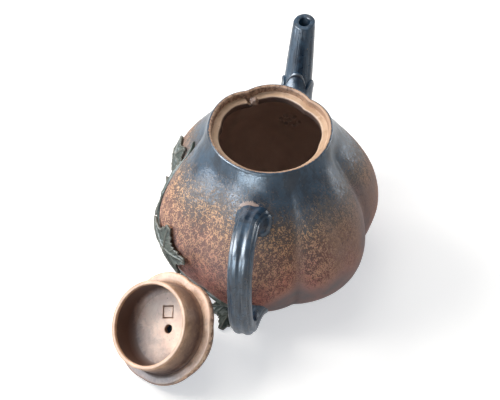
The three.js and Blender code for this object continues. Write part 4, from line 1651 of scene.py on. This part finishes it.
studio = {
    "lensMm": 100,
    "sensorMm": 36,
    "cameraPlace": (0.0756, -0.3886, 0.488),
    "cameraTurn": (41, 0, 12.2),
    "aim": (0, -0.01, 0.03),
    "sky": 0.24,
    "skyColour": (0.97, 0.985, 1, 1),
    "tableHalf": 4,
    "tableColour": (0.78, 0.76, 0.72, 1),
    "tableGlow": 0.55,
    "glowColour": (0.94, 0.96, 1, 1),
    "lamps": {
        # place, width, height, watts, colour, whether it lights more than the gloss
        "key": ((-0.74, 0.02, 0.66), 0.5, 0.4, 8.5, (1, 0.985, 0.96), True),
        "top": ((-0.3, 0.3, 1.05), 0.8, 0.8, 4.5, (1, 0.99, 0.98), True),
        "frontSheen": ((-0.27, -0.83, 0.09), 0.56, 0.12, 9, (0.7, 0.86, 1), False),
        "handleSheen": ((-0.6, -0.36, 0.47), 0.6, 0.62, 34, (0.85, 0.92, 1), False),
        "spoutSheen": ((-0.05, -0.92, 0.26), 0.3, 0.12, 3, (0.8, 0.9, 1), False),
        "rightSheen": ((0.62, 0.5, 0.1), 0.6, 0.2, 5, (0.9, 0.95, 1), False),
    },
}


def seenRay(tree):
    # 1 for camera, glossy and transmission rays
    path = tree.nodes.new("ShaderNodeLightPath")
    total = path.outputs["Is Camera Ray"]
    for name in ("Is Glossy Ray", "Is Transmission Ray"):
        node = tree.nodes.new("ShaderNodeMath")
        node.operation = "MAXIMUM"
        tree.links.new(total, node.inputs[0])
        tree.links.new(path.outputs[name], node.inputs[1])
        total = node.outputs[0]
    return total


def makeTable():
    bm = bmesh.new()
    bmesh.ops.create_grid(bm, x_segments=2, y_segments=2, size=studio["tableHalf"])
    mesh = bpy.data.meshes.new("table")
    bm.to_mesh(mesh)
    bm.free()
    table = bpy.data.objects.new("table", mesh)
    table.location.z = -0.0001
    bpy.context.scene.collection.objects.link(table)
    material = bpy.data.materials.new("white_table")
    material.use_nodes = True
    tree = material.node_tree
    shader = tree.nodes["Principled BSDF"]
    shader.inputs["Base Color"].default_value = studio["tableColour"]
    shader.inputs["Roughness"].default_value = 0.9
    shader.inputs["Specular IOR Level"].default_value = 0.1
    shader.inputs["Emission Color"].default_value = studio["glowColour"]
    glow = tree.nodes.new("ShaderNodeMath")
    glow.operation = "MULTIPLY"
    tree.links.new(seenRay(tree), glow.inputs[0])
    glow.inputs[1].default_value = studio["tableGlow"]
    tree.links.new(glow.outputs[0], shader.inputs["Emission Strength"])
    mesh.materials.append(material)


def makeLamps():
    for name, (place, width, height, watts, colour, lightsAll) in studio["lamps"].items():
        lamp = bpy.data.lights.new(name, "AREA")
        lamp.shape = "RECTANGLE"
        lamp.size = width
        lamp.size_y = height
        lamp.energy = watts
        lamp.color = colour
        holder = bpy.data.objects.new(name, lamp)
        holder.location = place
        holder.visible_diffuse = lightsAll
        holder.visible_camera = False
        towards = Vector(studio["aim"]) - Vector(place)
        holder.rotation_euler = towards.to_track_quat("-Z", "Y").to_euler()
        bpy.context.scene.collection.objects.link(holder)


def makeSky():
    world = bpy.data.worlds.new("studio")
    bpy.context.scene.world = world
    world.use_nodes = True
    tree = world.node_tree
    background = tree.nodes["Background"]
    background.inputs["Color"].default_value = studio["skyColour"]
    strength = tree.nodes.new("ShaderNodeMapRange")
    tree.links.new(seenRay(tree), strength.inputs["Value"])
    strength.inputs["To Min"].default_value = studio["sky"]
    strength.inputs["To Max"].default_value = 1
    tree.links.new(strength.outputs["Result"], background.inputs["Strength"])


def makeCamera():
    lens = bpy.data.cameras.new("camera")
    lens.lens = studio["lensMm"]
    lens.sensor_width = studio["sensorMm"]
    camera = bpy.data.objects.new("camera", lens)
    camera.location = studio["cameraPlace"]
    camera.rotation_euler = [math.radians(angle) for angle in studio["cameraTurn"]]
    bpy.context.scene.collection.objects.link(camera)
    bpy.context.scene.camera = camera


makeTable()
makeLamps()
makeSky()
makeCamera()
bpy.context.scene.view_settings.view_transform = "Standard"
print("table, lights and camera set")
